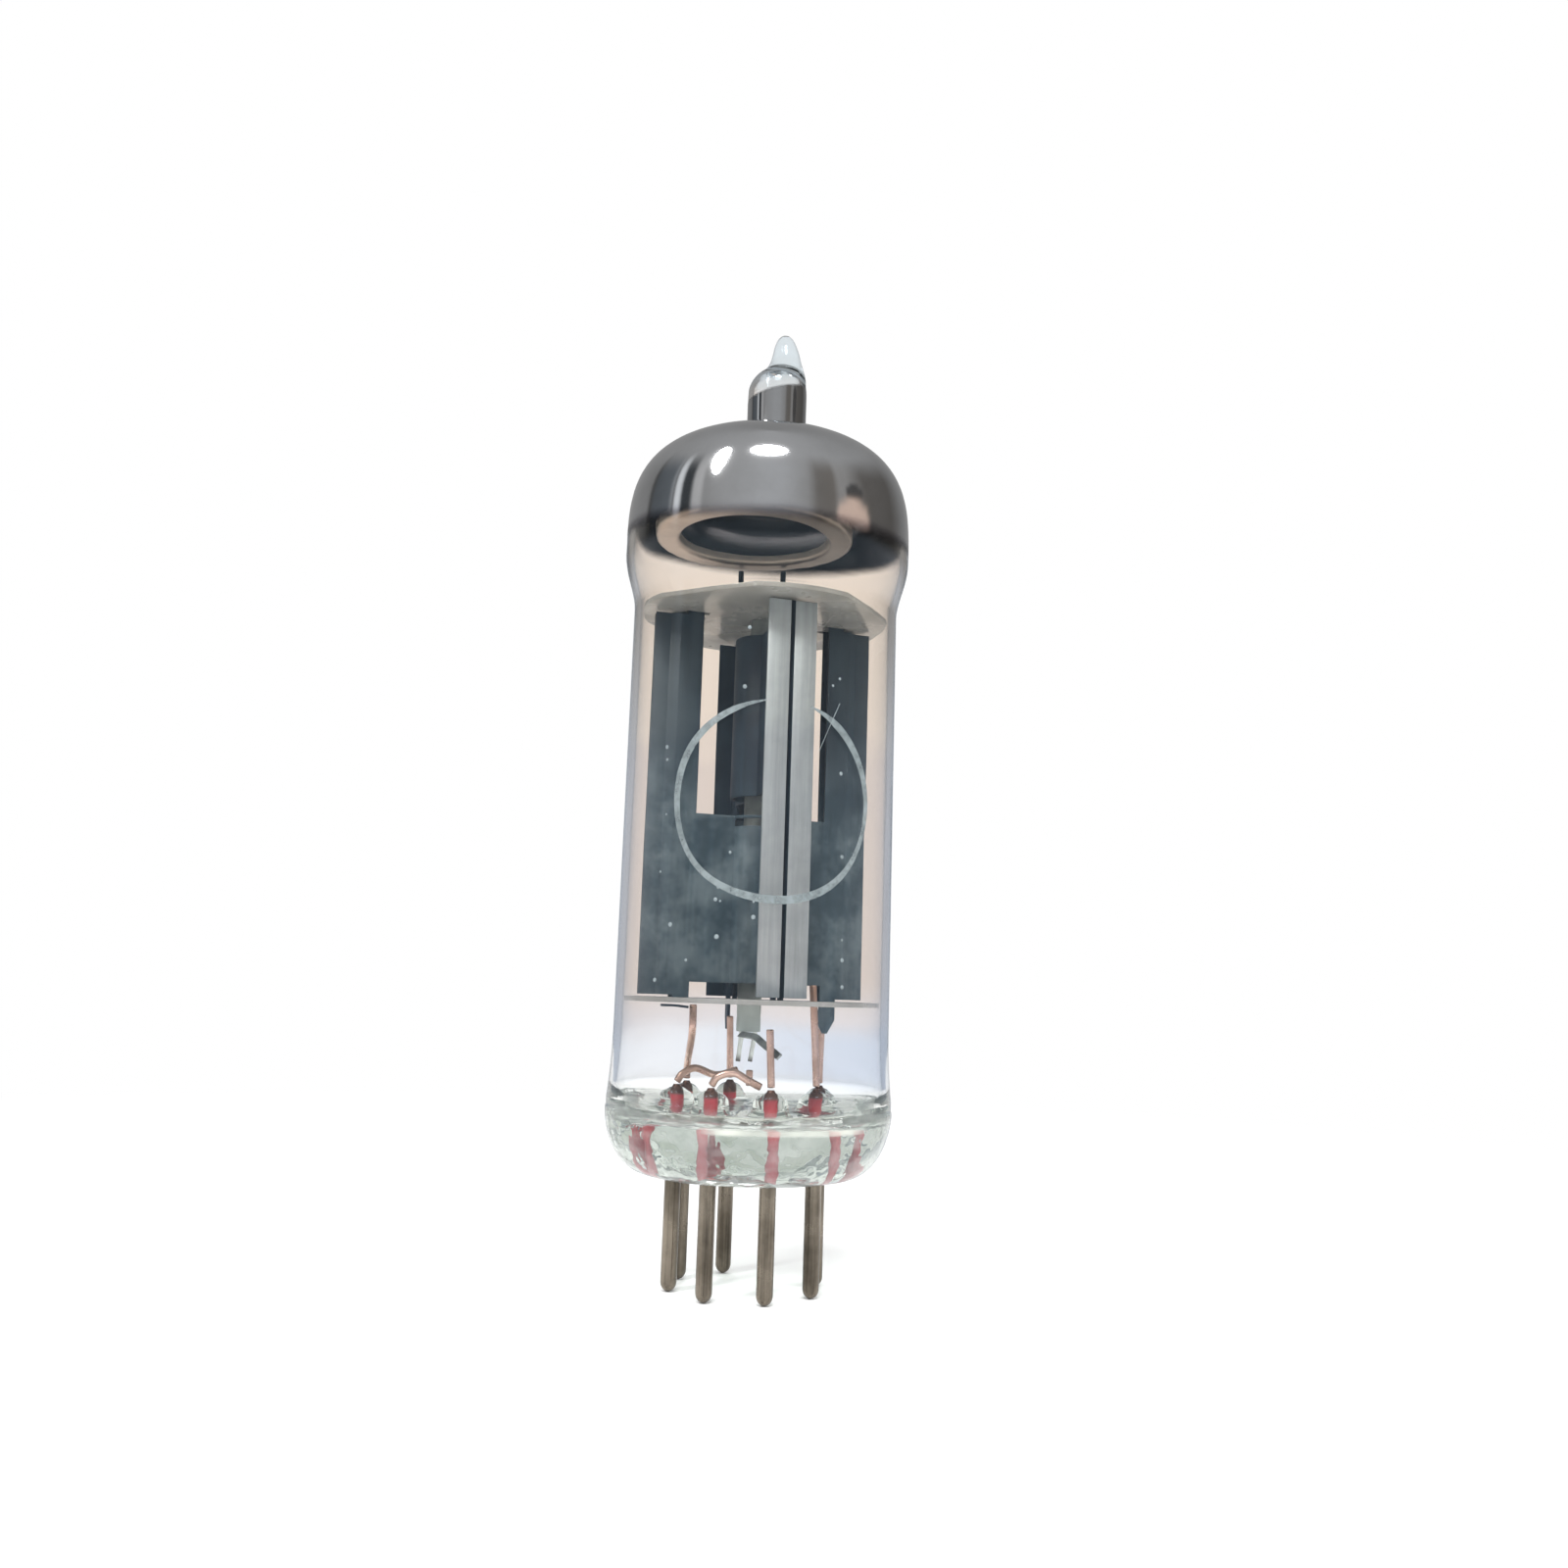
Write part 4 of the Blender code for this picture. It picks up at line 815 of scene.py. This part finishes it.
def buildGlass():
    inside = newObject("insideTool", latheMesh("insideTool", bulbInside(), bulb["sides"], startAngle=radians(1.1)))
    beads = crown(newObject("beadTool", beadMesh()), "bulbGlass")
    combine(inside, beads, "DIFFERENCE")
    body = newObject("bodyTool", swellBase(latheMesh("outside", bulbOutside(), bulb["sides"])))
    feet = crown(newObject("footTool", footMesh()), "bulbGlass")
    combine(body, feet, "UNION")
    builder = bmesh.new()
    builder.from_mesh(inside.data)
    bmesh.ops.remove_doubles(builder, verts=builder.verts, dist=1e-6)
    for face in builder.faces:
        face.normal_flip()  # the hollow's surface faces into the hollow
    builder.from_mesh(body.data)
    mesh = bpy.data.meshes.new("glass_bulb")
    builder.to_mesh(mesh)
    builder.free()
    for tool in (inside, beads, feet, body):
        bpy.data.objects.remove(tool)
    piece = newObject("glass_bulb", mesh)
    mesh.materials.append(finish["bulbGlass"])
    shadeByAngle(mesh, 50)
    return finishPiece(piece, "glass_envelope", "glass_stem", slot="glass")


glassBulb = buildGlass()
print("glass made:", len(glassBulb.data.polygons), "faces")


def buildFilm():
    # a film as thin as paint over the dome and neck, from the tip down to the ring
    film = dict(low=46.6 * mm, high=61.6 * mm, out=0.012 * mm, thickness=0.01 * mm)
    stations = [(p[0] + film["out"], *p[1:]) for p in bulbOutside() if film["low"] < p[1] < film["high"]]
    piece = newObject("getter_mirror", latheMesh("getter_mirror", stations, bulb["sides"], skin=True))
    for name in films:
        piece.data.materials.append(finish[name])
    thicken(piece, film["thickness"], innerMaterial=1)
    shadeByAngle(piece.data, 60)
    return finishPiece(piece, slot="nickel")


buildFilm()
print("getter mirror made")

# base: pins and seals in their circle
base = dict(pinRadius=0.508 * mm, sealRadius=0.3 * mm, meet=seatZ + 0.45 * mm, overlap=0.05 * mm, sides=28)


def pinOutline():
    # round at its end, and drawn in where it ends in the glass
    radius, top = base["pinRadius"], base["meet"]
    outline = [(radius * s, pinEnd + radius * 1.15 * (1 - c)) for s, c in quarter(8)]
    outline += [(radius, pinEnd + (top - pinEnd) * share) for share in (0.3, 0.6, 0.9)]
    return outline + [(radius * 0.96, top - 0.12 * mm), (radius * 0.6, top), (0.0, top)]


def sealOutline():
    # not quite even, as a dipped wire is
    radius, low, high = base["sealRadius"], base["meet"] - base["overlap"], sealTop
    outline = [(0.0, low), (radius * 0.8, low), (radius, low + 0.12 * mm)]
    for t in (i / 8 for i in range(1, 8)):
        outline.append((radius * (1 - 0.07 * sin(pi * t) + 0.05 * sin(3 * pi * t)), low + (high - low) * t))
    return outline + [(radius * 0.92, high - 0.14 * mm), (radius * 0.66, high), (0.0, high)]


for name, outline, material, angle, node, slot in (
        ("base_pins", pinOutline(), "pinMetal", 40, "pin", "pin_metal"),
        ("red_seals", sealOutline(), "redSeal", 60, "seal", "seal")):
    piece = crown(newObject(name, latheMesh(name, outline, base["sides"])), material)
    shadeByAngle(piece.data, angle)
    finishPiece(piece, *[f"{node}_{n}" for n in pinNumbers], slot=slot)
print("pins and seals made")

# sheet metal and mica: CAD shapes, merged, with rounded edges
sheets = dict(
    flangeFrom=6.03 * mm,
    # node: piece, materials (a second one is for the flanges), rounding, smooth up to this angle, slot
    parts={
        "lower_anode_front": ("lower_plate_front", ["cloudySheet"], 0.035 * mm, 40, "anode"),
        "lower_anode_rear": ("lower_plate_rear", ["cloudySheet"], 0.035 * mm, 40, "anode"),
        "upper_anode_left": ("upper_plate_left", ["carbonisedSheet", "bareNickel"], 0.035 * mm, 40, "anode"),
        "upper_anode_right": ("upper_plate_right", ["carbonisedSheet", "bareNickel"], 0.035 * mm, 40, "anode"),
        "anode_tab_strip": ("tab_strip", ["carbonisedSheet"], 0.03 * mm, 40, "anode"),
        "cathode_strap": ("sleeve_strap", ["strapNickel"], 0.03 * mm, 40, "nickel"),
        "bottom_mica": ("mica_bottom", ["micaSheet"], 0.03 * mm, 30, "mica"),
        "top_mica": ("mica_top", ["micaSheet"], 0.03 * mm, 30, "mica"),
    })


def onFlange(face):
    # the front flanges are bare on every face and the rear ones on their outer faces; the rear ones' inner faces
    # keep the dark sheet as painted shade
    y = face.center.y
    return abs(y) > sheets["flangeFrom"] and (y < 0 or face.normal.y > 0.5)


def dressNode(node, name, materials, rounding, angle, slot):
    builder = bmesh.new()
    builder.from_mesh(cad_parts[node].data)
    bmesh.ops.remove_doubles(builder, verts=builder.verts, dist=2e-7)
    bmesh.ops.dissolve_limit(builder, angle_limit=radians(1.0), verts=builder.verts, edges=builder.edges)
    mesh = bpy.data.meshes.new(name)
    builder.to_mesh(mesh)
    builder.free()
    piece = newObject(name, mesh)
    mesh.materials.clear()
    for material in materials:
        mesh.materials.append(finish[material])
    for face in mesh.polygons:
        face.material_index = 1 if len(materials) > 1 and onFlange(face) else 0
    roundEdges(piece, rounding, 30)
    shadeByAngle(piece.data, angle)
    return finishPiece(piece, node, slot=slot)


for node, part in sheets["parts"].items():
    dressNode(node, *part)
print("plates and micas made")


def turnedTube(name, stations, sides, material, angle, node, slot):
    piece = newObject(name, latheMesh(name, stations, sides, closed=True))
    piece.data.materials.append(finish[material])
    shadeByAngle(piece.data, angle)
    return finishPiece(piece, node, slot=slot)


def buildSleeve():
    # a drawn tube with a slight groove near its lower end
    sleeve = dict(radius=0.78 * mm, wall=0.12 * mm, edge=0.03 * mm, groove=0.02 * mm, grooveAt=(0.03, 0.035, 0.04),
                  sides=48)
    r, edge, low, high = sleeve["radius"], sleeve["edge"], sleeveLow.z, sleeveHigh.z
    start, deepest, stop = (low + (high - low) * share for share in sleeve["grooveAt"])
    outline = [(r - edge, low), (r, low + edge), (r, start), (r - sleeve["groove"], deepest), (r, stop),
               (r, high - edge), (r - edge, high), (r - sleeve["wall"], high), (r - sleeve["wall"], low)]
    stations = [(a, b, sleeveX) for a, b in outline]
    return turnedTube("sleeve", stations, sleeve["sides"], "sleeveCoatInShade", 40, "cathode_sleeve", "cathode")


def buildRing():
    # a pressed channel, open to the dome, with rolled edges and a flat floor
    ring = dict(width=1.67 * mm, sheet=0.2 * mm, roll=0.28 * mm, sag=0.02 * mm, sides=112)
    half, roll, high = ring["sheet"] / 2, ring["roll"], ringHigh.z
    outer, inner, floor = ringRadius - half, ringRadius - ring["width"] + half, ringLow.z + half
    path = [(outer, high), *((outer - roll * (1 - c), floor + roll * (1 - s)) for s, c in quarter(5)),
            ((inner + outer) / 2, floor + ring["sag"]),
            *((inner + roll * (1 - s), floor + roll * (1 - c)) for s, c in quarter(5)), (inner, high)]
    over, under = [], []
    for i, (radius, z) in enumerate(path):
        before, after = path[max(i - 1, 0)], path[min(i + 1, len(path) - 1)]
        along = Vector((after[0] - before[0], after[1] - before[1])).normalized()
        across = Vector((-along.y, along.x)) * half
        over.append((radius + across.x, z + across.y, ringX))
        under.append((radius - across.x, z - across.y, ringX))
    stations = over + under[::-1]
    return turnedTube("getter_channel", stations, ring["sides"], "ringNickel", 45, "getter_ring", "nickel")


buildSleeve()
buildRing()
for side in ("left", "right"):
    low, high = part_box(f"getter_post_{side}")
    x, y = (low + high).xy / 2
    addWire(f"ring_post_{side}", [(x, y, low.z), (x, y, high.z)], (high.x - low.x) / 2, "carbonisedSheet",
            f"getter_post_{side}", slot="nickel", steps=4)
print("sleeve, ring and posts made")

# leads and heater: the CAD's routes, as round wire
leads = dict(radius=0.23 * mm, clearance=0.15 * mm, lean=0.2 * mm, rise=0.92 * mm, post=3.5 * mm,
             heaterArch=0.62 * mm, jumperArch=0.8 * mm, stub=1.0 * mm)
heater = dict(radius=0.15 * mm, spread=0.45 * mm, leg=1.9 * mm, leftLean=1.4, rightLean=0.4)
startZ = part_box("lead_5")[0].z
foot = {n: Vector((pinFoot[n].x, pinFoot[n].y, startZ)) for n in pinNumbers}
legZ = sleeveLow.z - heater["leg"]
legLeft = Vector((sleeveX - heater["leftLean"] * heater["spread"], 0, legZ))
legRight = Vector((sleeveX + heater["rightLean"] * heater["spread"], 0, legZ))
below = Vector((0, 0, heater["radius"] + leads["radius"] + leads["clearance"]))


def arch(start, end, crest, height, shoulder):
    span = end - start
    heights = ((0.3 * crest, 0.7 * height), (crest, height), ((1 + crest) / 2, shoulder))
    return [start, *(start + span * share + Vector((0, 0, up)) for share, up in heights), end]


def endOf(node):
    # the middle of a CAD wire's upper end
    points = [v.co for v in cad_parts[node].data.vertices]
    level = max(p.z for p in points)
    picked = [p for p in points if abs(p.z - level) < 0.05 * mm]
    return sum(picked, Vector()) / len(picked)


def buildLeads():
    up = Vector((0, 0, leads["rise"]))
    leftEnd, rightEnd = endOf("lead_2"), endOf("lead_7")
    inward = (foot[5] - foot[4]).normalized()
    jumperEnd = foot[5] - inward * (2 * leads["radius"] + leads["clearance"])
    routes = {
        1: [foot[1], endOf("lead_1")],
        2: [foot[2], foot[2] + up, leftEnd - 2 * up, leftEnd],
        3: arch(foot[3], legLeft - below, 0.3, leads["heaterArch"], -0.1 * leads["heaterArch"]),
        4: arch(foot[4], jumperEnd, 0.45, leads["jumperArch"], leads["jumperArch"] / 2),
        5: [foot[5], foot[5] + Vector((-leads["lean"], 0, leads["post"]))],
        6: [foot[6], endOf("lead_6")],
        7: [foot[7], foot[7] + up, rightEnd],
    }
    for number, route in routes.items():
        addWire(f"wire_{number}", route, leads["radius"], "leadCopper", f"lead_{number}", slot="lead_copper")
    stub = [legRight - below, legRight - below - Vector((0, 0, leads["stub"]))]
    addWire("wire_stub", stub, leads["radius"], "leadCopper", "heater_stub", slot="lead_copper", steps=4)


def buildHeater():
    # a folded wire: up one side of the sleeve and down the other
    spread = heater["spread"]
    fold = sleeveHigh.z - 2 * spread
    levels = (sleeveLow.z, sleeveLow.z + heater["leg"], fold - spread, fold)
    points = [legLeft, *[(sleeveX - spread, 0, z) for z in levels], (sleeveX, 0, fold + spread),
              *[(sleeveX + spread, 0, z) for z in reversed(levels)], legRight]
    addWire("heater_wire", points, heater["radius"], "heaterCoat", "heater", slot="heater", steps=8, sides=14)


buildLeads()
buildHeater()
print("leads and heater made")


# marks on the glass
def onGlass(azimuth, z, proud=0.004 * mm):
    # azimuth in degrees from -Y towards +X
    radius = wallRadius(z) + proud
    return Vector((radius * sin(radians(azimuth)), -radius * cos(radians(azimuth)), z))


def buildStamp():
    # a plain worn ring, laid round the bulb's front, missing a bit at its top
    stamp = dict(azimuth=-9.5, z=29.8 * mm, wide=6.36 * mm, high=6.05 * mm, line=0.43 * mm, steps=150,
                 proud=0.012 * mm, thickness=0.008 * mm, gap=(72, 97))
    builder = bmesh.new()
    rows = []
    span = 360 - (stamp["gap"][1] - stamp["gap"][0])
    for i in range(stamp["steps"] + 1):
        turn = radians(stamp["gap"][1] + span * i / stamp["steps"])
        wobble = 1 + 0.006 * sin(5 * turn + 1.0)
        line = stamp["line"] * (0.8 + 0.35 * sin(turn * 1.5 + 0.6) ** 2)
        line *= min(1.0, 0.25 + 0.09 * min(i, stamp["steps"] - i))
        row = []
        for side in (-1.5, -0.5, 0.5, 1.5):
            across = (stamp["wide"] * wobble + side / 3 * line) * cos(turn)
            up = (stamp["high"] * wobble + side / 3 * line) * sin(turn)
            azimuth = stamp["azimuth"] + across / bulb["radius"] * 180 / pi
            row.append(builder.verts.new(onGlass(azimuth, stamp["z"] + up, stamp["proud"])))
        rows.append(row)
    for row, after in zip(rows, rows[1:]):
        for j in range(3):
            builder.faces.new([row[j], row[j + 1], after[j + 1], after[j]])
    bmesh.ops.recalc_face_normals(builder, faces=builder.faces)
    mesh = bpy.data.meshes.new("stamp_ring")
    builder.to_mesh(mesh)
    builder.free()
    mesh.materials.append(finish["stampInk"])
    piece = thicken(newObject("stamp_ring", mesh), stamp["thickness"])
    shadeByAngle(piece.data, 60)
    return finishPiece(piece)


def buildSpecks():
    # dust and tiny bubbles on the bulb, and one thin scratch: azimuth in degrees, height in mm
    specks = dict(size=0.15 * mm, flat=0.35, least=0.45, seed=7, places=[
        (-56.9, 33.1), (-56.5, 32.3), (-55.7, 28.9), (-57.5, 25.4), (-51.1, 22.2), (-35.8, 25.0), (-30.9, 24.4),
        (-31.8, 23.7), (-29.9, 23.6), (-30.8, 21.5), (16.0, 37.6), (17.7, 31.7), (19.2, 26.6), (20.2, 21.6),
        (20.5, 20.4), (20.8, 18.8), (-23.4, 36.6), (-26.7, 26.5), (-22.3, 40.3), (12.8, 37.1), (-43.1, 20.1),
        (-57.9, 18.9), (-17.0, 23.6), (-16.9, 22.7)])
    scratch = dict(ends=((16.3, 36.05), (12.0, 34.6), (7.4, 32.94)), radius=0.02 * mm)
    points = [onGlass(azimuth, z * mm) for azimuth, z in specks["places"]]
    mesh = bpy.data.meshes.new("glass_specks")
    mesh.from_pydata([tuple(p) for p in points], [], [])
    normals = [Vector((p.x, p.y, 0)).normalized() for p in points]
    facing = mesh.attributes.new("facing", "FLOAT_VECTOR", "POINT")
    facing.data.foreach_set("vector", [value for normal in normals for value in normal])
    piece = newObject("glass_specks", mesh)
    applyTree(piece, dotTree, DotRadius=specks["size"], Flatness=specks["flat"], LeastSize=specks["least"],
              Seed=specks["seed"], Material=finish["dustSpeck"])
    finishPiece(piece)
    line = [onGlass(azimuth, z * mm) for azimuth, z in scratch["ends"]]
    addWire("glass_scratch", line, scratch["radius"], "dustSpeck", steps=4, sides=6)


buildStamp()
buildSpecks()
print("stamp ring and specks made")

# floor, light and camera
studio = dict(paper=(0.93, 0.93, 0.93), half=3.0, z=-0.02 * mm, shadowFrom=0.048, shadowTo=0.16, fill=0.62)


def buildFloor():
    # paper near the object, so its shadow stays; plain white further out
    half, z = studio["half"], studio["z"]
    floor = newObject("floor", bpy.data.meshes.new("floor"))
    corners = [(-half, -half, z), (half, -half, z), (half, half, z), (-half, half, z)]
    floor.data.from_pydata(corners, [], [(0, 1, 2, 3)])
    material, shader, coords = startMaterial("floorPaper")
    tree = material.node_tree
    connect(shader.inputs, {"Base Color": studio["paper"], "Roughness": 0.9, "Specular IOR Level": 0.1})
    far = addRange(addLength(coords), studio["shadowFrom"], studio["shadowTo"], smooth=True)
    white = addNode(tree, "ShaderNodeEmission")[0]
    paper = addShaderMix(times(far, addSeen(tree)), shader.outputs[0], white)
    connect(tree.nodes["Material Output"].inputs, {"Surface": paper})
    floor.data.materials.append(material)
    floor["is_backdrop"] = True


def buildWorld():
    # white where it is seen, and a plain soft light for everything else
    world = bpy.data.worlds.new("room")
    bpy.context.scene.world = world
    world.use_nodes = True
    tree = world.node_tree
    strength = addRange(addSeen(tree), 0.0, 1.0, studio["fill"], 1.0)
    connect(tree.nodes["Background"].inputs, {"Color": (1, 1, 1), "Strength": strength})


# tones are (value, warmth) or colours; walls and marks are placed by azimuth and height in degrees
room = dict(
    radius=0.45, center=0.04, low=-16, step=1.8, turn=25,
    ceilingFrom=(33, 50), ceilingFront=(0.52, -0.01), ceilingBack=(0.34, 0),
    skirtFrom=(6, 19), skirtFront=(0.72, -0.02), skirtBack=(0.50, 0.545, 0.62),
    whiteFrom=(-15, 0), lowFront=(0.88, 0.90, 0.95),
    walls=[(-180, 0.34, 0), (-132, 0.30, 0), (-128, 0.10, 0), (-122, 0.15, -0.1), (-104, 0.18, -0.1),
           (-101, 0.40, -0.05), (-98.5, 0.12, 0), (-97, 1.0, -0.03), (-92.5, 1.0, -0.03), (-90.5, 0.07, -0.1),
           (-82, 0.07, -0.1), (-79.5, 0.62, 0), (-73, 0.66, 0), (-70, 0.40, 0), (-52, 0.50, -0.01),
           (-25, 0.58, -0.02), (-5, 0.57, -0.02), (14, 0.44, 0), (22, 0.23, 0.06), (36, 0.22, 0.08),
           (41, 0.40, 0.02), (50, 0.38, 0.02), (68, 0.17, 0.06), (100, 0.13, 0.06), (122, 0.26, 0),
           (150, 0.34, 0), (180, 0.34, 0)],
    marks=[(56, 27, 10, 3.6, (0.10, 0)), (54, 20, 18, 5.5, (1.0, 0.76, 0.63))],
)


def ease(value, low, high):
    share = min(1.0, max(0.0, (value - low) / (high - low)))
    return share * share * (3 - 2 * share)


def blend(a, b, share):
    # tones of two numbers become colours first
    a, b = ((v[0] * (1 + v[1]), v[0], v[0] * (1 - v[1])) if len(v) == 2 else v for v in (a, b))
    return tuple(x + (y - x) * share for x, y in zip(a, b))


def roomTone(azimuth, up):
    # the tone of the room in one direction: walls by azimuth, a ceiling above them, a few marks
    for (start, *a), (end, *b) in zip(room["walls"], room["walls"][1:]):
        if start <= azimuth <= end:
            tone = blend(a, b, (azimuth - start) / (end - start))
    toFront = (1 + cos(radians(azimuth + room["turn"]))) / 2
    ceiling = blend(room["ceilingBack"], room["ceilingFront"], toFront)
    tone = blend(tone, ceiling, ease(up, *room["ceilingFrom"]))
    for at, height, wide, high, color in room["marks"]:
        away = sqrt(((azimuth - at) / wide) ** 2 + ((up - height) / high) ** 2)
        tone = blend(color, tone, ease(away, 0.75, 1.0))
    skirt = blend(room["skirtBack"], room["skirtFront"], toFront)
    lowest = blend(room["skirtBack"], room["lowFront"], toFront)
    return blend(lowest, blend(skirt, tone, ease(up, *room["skirtFrom"])), ease(up, *room["whiteFrom"]))


def buildRoom():
    # the room that shines in the mirror and the glass: seen only by rays that were reflected before
    low, radius = room["low"], room["radius"]
    columns, rows = int(360 / room["step"]), int((90 - low) / room["step"])
    corners, tones, faces = [], [], []
    for row in range(rows + 1):
        up = low + (90 - low) * row / rows
        for column in range(columns):
            azimuth = -180 + 360 * column / columns
            out = radius * cos(radians(min(up, 89.9)))
            z = room["center"] + radius * sin(radians(up))
            corners.append((out * sin(radians(azimuth)), -out * cos(radians(azimuth)), z))
            tones.append((*roomTone(azimuth, up), 1.0))
    for start in range(0, rows * columns, columns):
        for k in range(columns):
            after = (k + 1) % columns
            faces.append((start + k, start + after, start + columns + after, start + columns + k))
    mesh = bpy.data.meshes.new("room_dome")
    mesh.from_pydata(corners, [], faces)
    paint = mesh.color_attributes.new("tone", "FLOAT_COLOR", "POINT")
    paint.data.foreach_set("color", [value for tone in tones for value in tone])
    material = startMaterial("roomGlow")[0]
    tree = material.node_tree
    tree.nodes.remove(tree.nodes["Principled BSDF"])
    tone = addNode(tree, "ShaderNodeVertexColor", layer_name="tone")["Color"]
    reflected = addMath("MINIMUM", addNode(tree, "ShaderNodeLightPath")["Glossy Depth"], 1.0)
    clear = addNode(tree, "ShaderNodeBsdfTransparent")[0]
    glow = addNode(tree, "ShaderNodeEmission", {"Color": tone})[0]
    connect(tree.nodes["Material Output"].inputs, {"Surface": addShaderMix(reflected, clear, glow)})
    mesh.materials.append(material)
    dome = newObject("room_dome", mesh)
    dome.visible_camera = dome.visible_diffuse = dome.visible_volume_scatter = dome.visible_shadow = False
    dome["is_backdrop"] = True


def buildLamps():
    lamps = {
        "frontSoftbox": dict(at=(-0.069, -0.212, 0.329), size=(0.14, 0.075), power=1.1, shine=True),
        "leftStrip": dict(at=(-0.235, -0.124, 0.289), size=(0.055, 0.14), power=0.55, shine=True),
        "rightFill": dict(at=(0.26, -0.16, 0.15), size=(0.2, 0.2), power=0.45, shine=False),
        "backFill": dict(at=(0.05, 0.28, 0.22), size=(0.2, 0.2), power=0.5, shine=False),
    }
    middle = Vector((0, 0, 35 * mm))
    for name, lamp in lamps.items():
        data = bpy.data.lights.new(name, "AREA")
        data.energy = lamp["power"]
        data.shape = "ELLIPSE"
        data.size, data.size_y = lamp["size"]
        light = newObject(name, data)
        light.visible_glossy = light.visible_transmission = lamp["shine"]
        light.location = lamp["at"]
        light.rotation_euler = (middle - light.location).to_track_quat("-Z", "Y").to_euler()


def buildCamera():
    # the photograph's view: near the pins' height, looking up a little from the front left
    view = dict(distance=86.148 * mm, height=18.197 * mm, azimuth=-16.182, yaw=1.073, pitch=9.183, roll=1.82,
                lens=30.06, sensor=36.0)
    turn, yaw, pitch, roll = (radians(view[k]) for k in ("azimuth", "yaw", "pitch", "roll"))
    up = Vector((0, 0, 1))
    ahead = Vector((-sin(turn), cos(turn), 0))
    right = Vector((cos(turn), sin(turn), 0))
    ahead, right = cos(yaw) * ahead + sin(yaw) * right, cos(yaw) * right - sin(yaw) * ahead
    forward = cos(pitch) * ahead + sin(pitch) * up
    top = -sin(pitch) * ahead + cos(pitch) * up
    side = cos(roll) * right + sin(roll) * top
    top = -sin(roll) * right + cos(roll) * top
    data = bpy.data.cameras.new("photoCamera")
    data.lens = view["lens"]
    data.sensor_width = view["sensor"]
    data.clip_start = 1.0 * mm
    camera = newObject("photoCamera", data)
    matrix = Matrix((side, top, -forward)).transposed().to_4x4()
    matrix.translation = Vector((view["distance"] * sin(turn), -view["distance"] * cos(turn), view["height"]))
    camera.matrix_world = matrix
    bpy.context.scene.camera = camera


buildFloor()
buildWorld()
buildRoom()
buildLamps()
buildCamera()
scene = bpy.context.scene
scene.view_settings.view_transform = "Standard"
print("studio and camera made")

low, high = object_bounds()
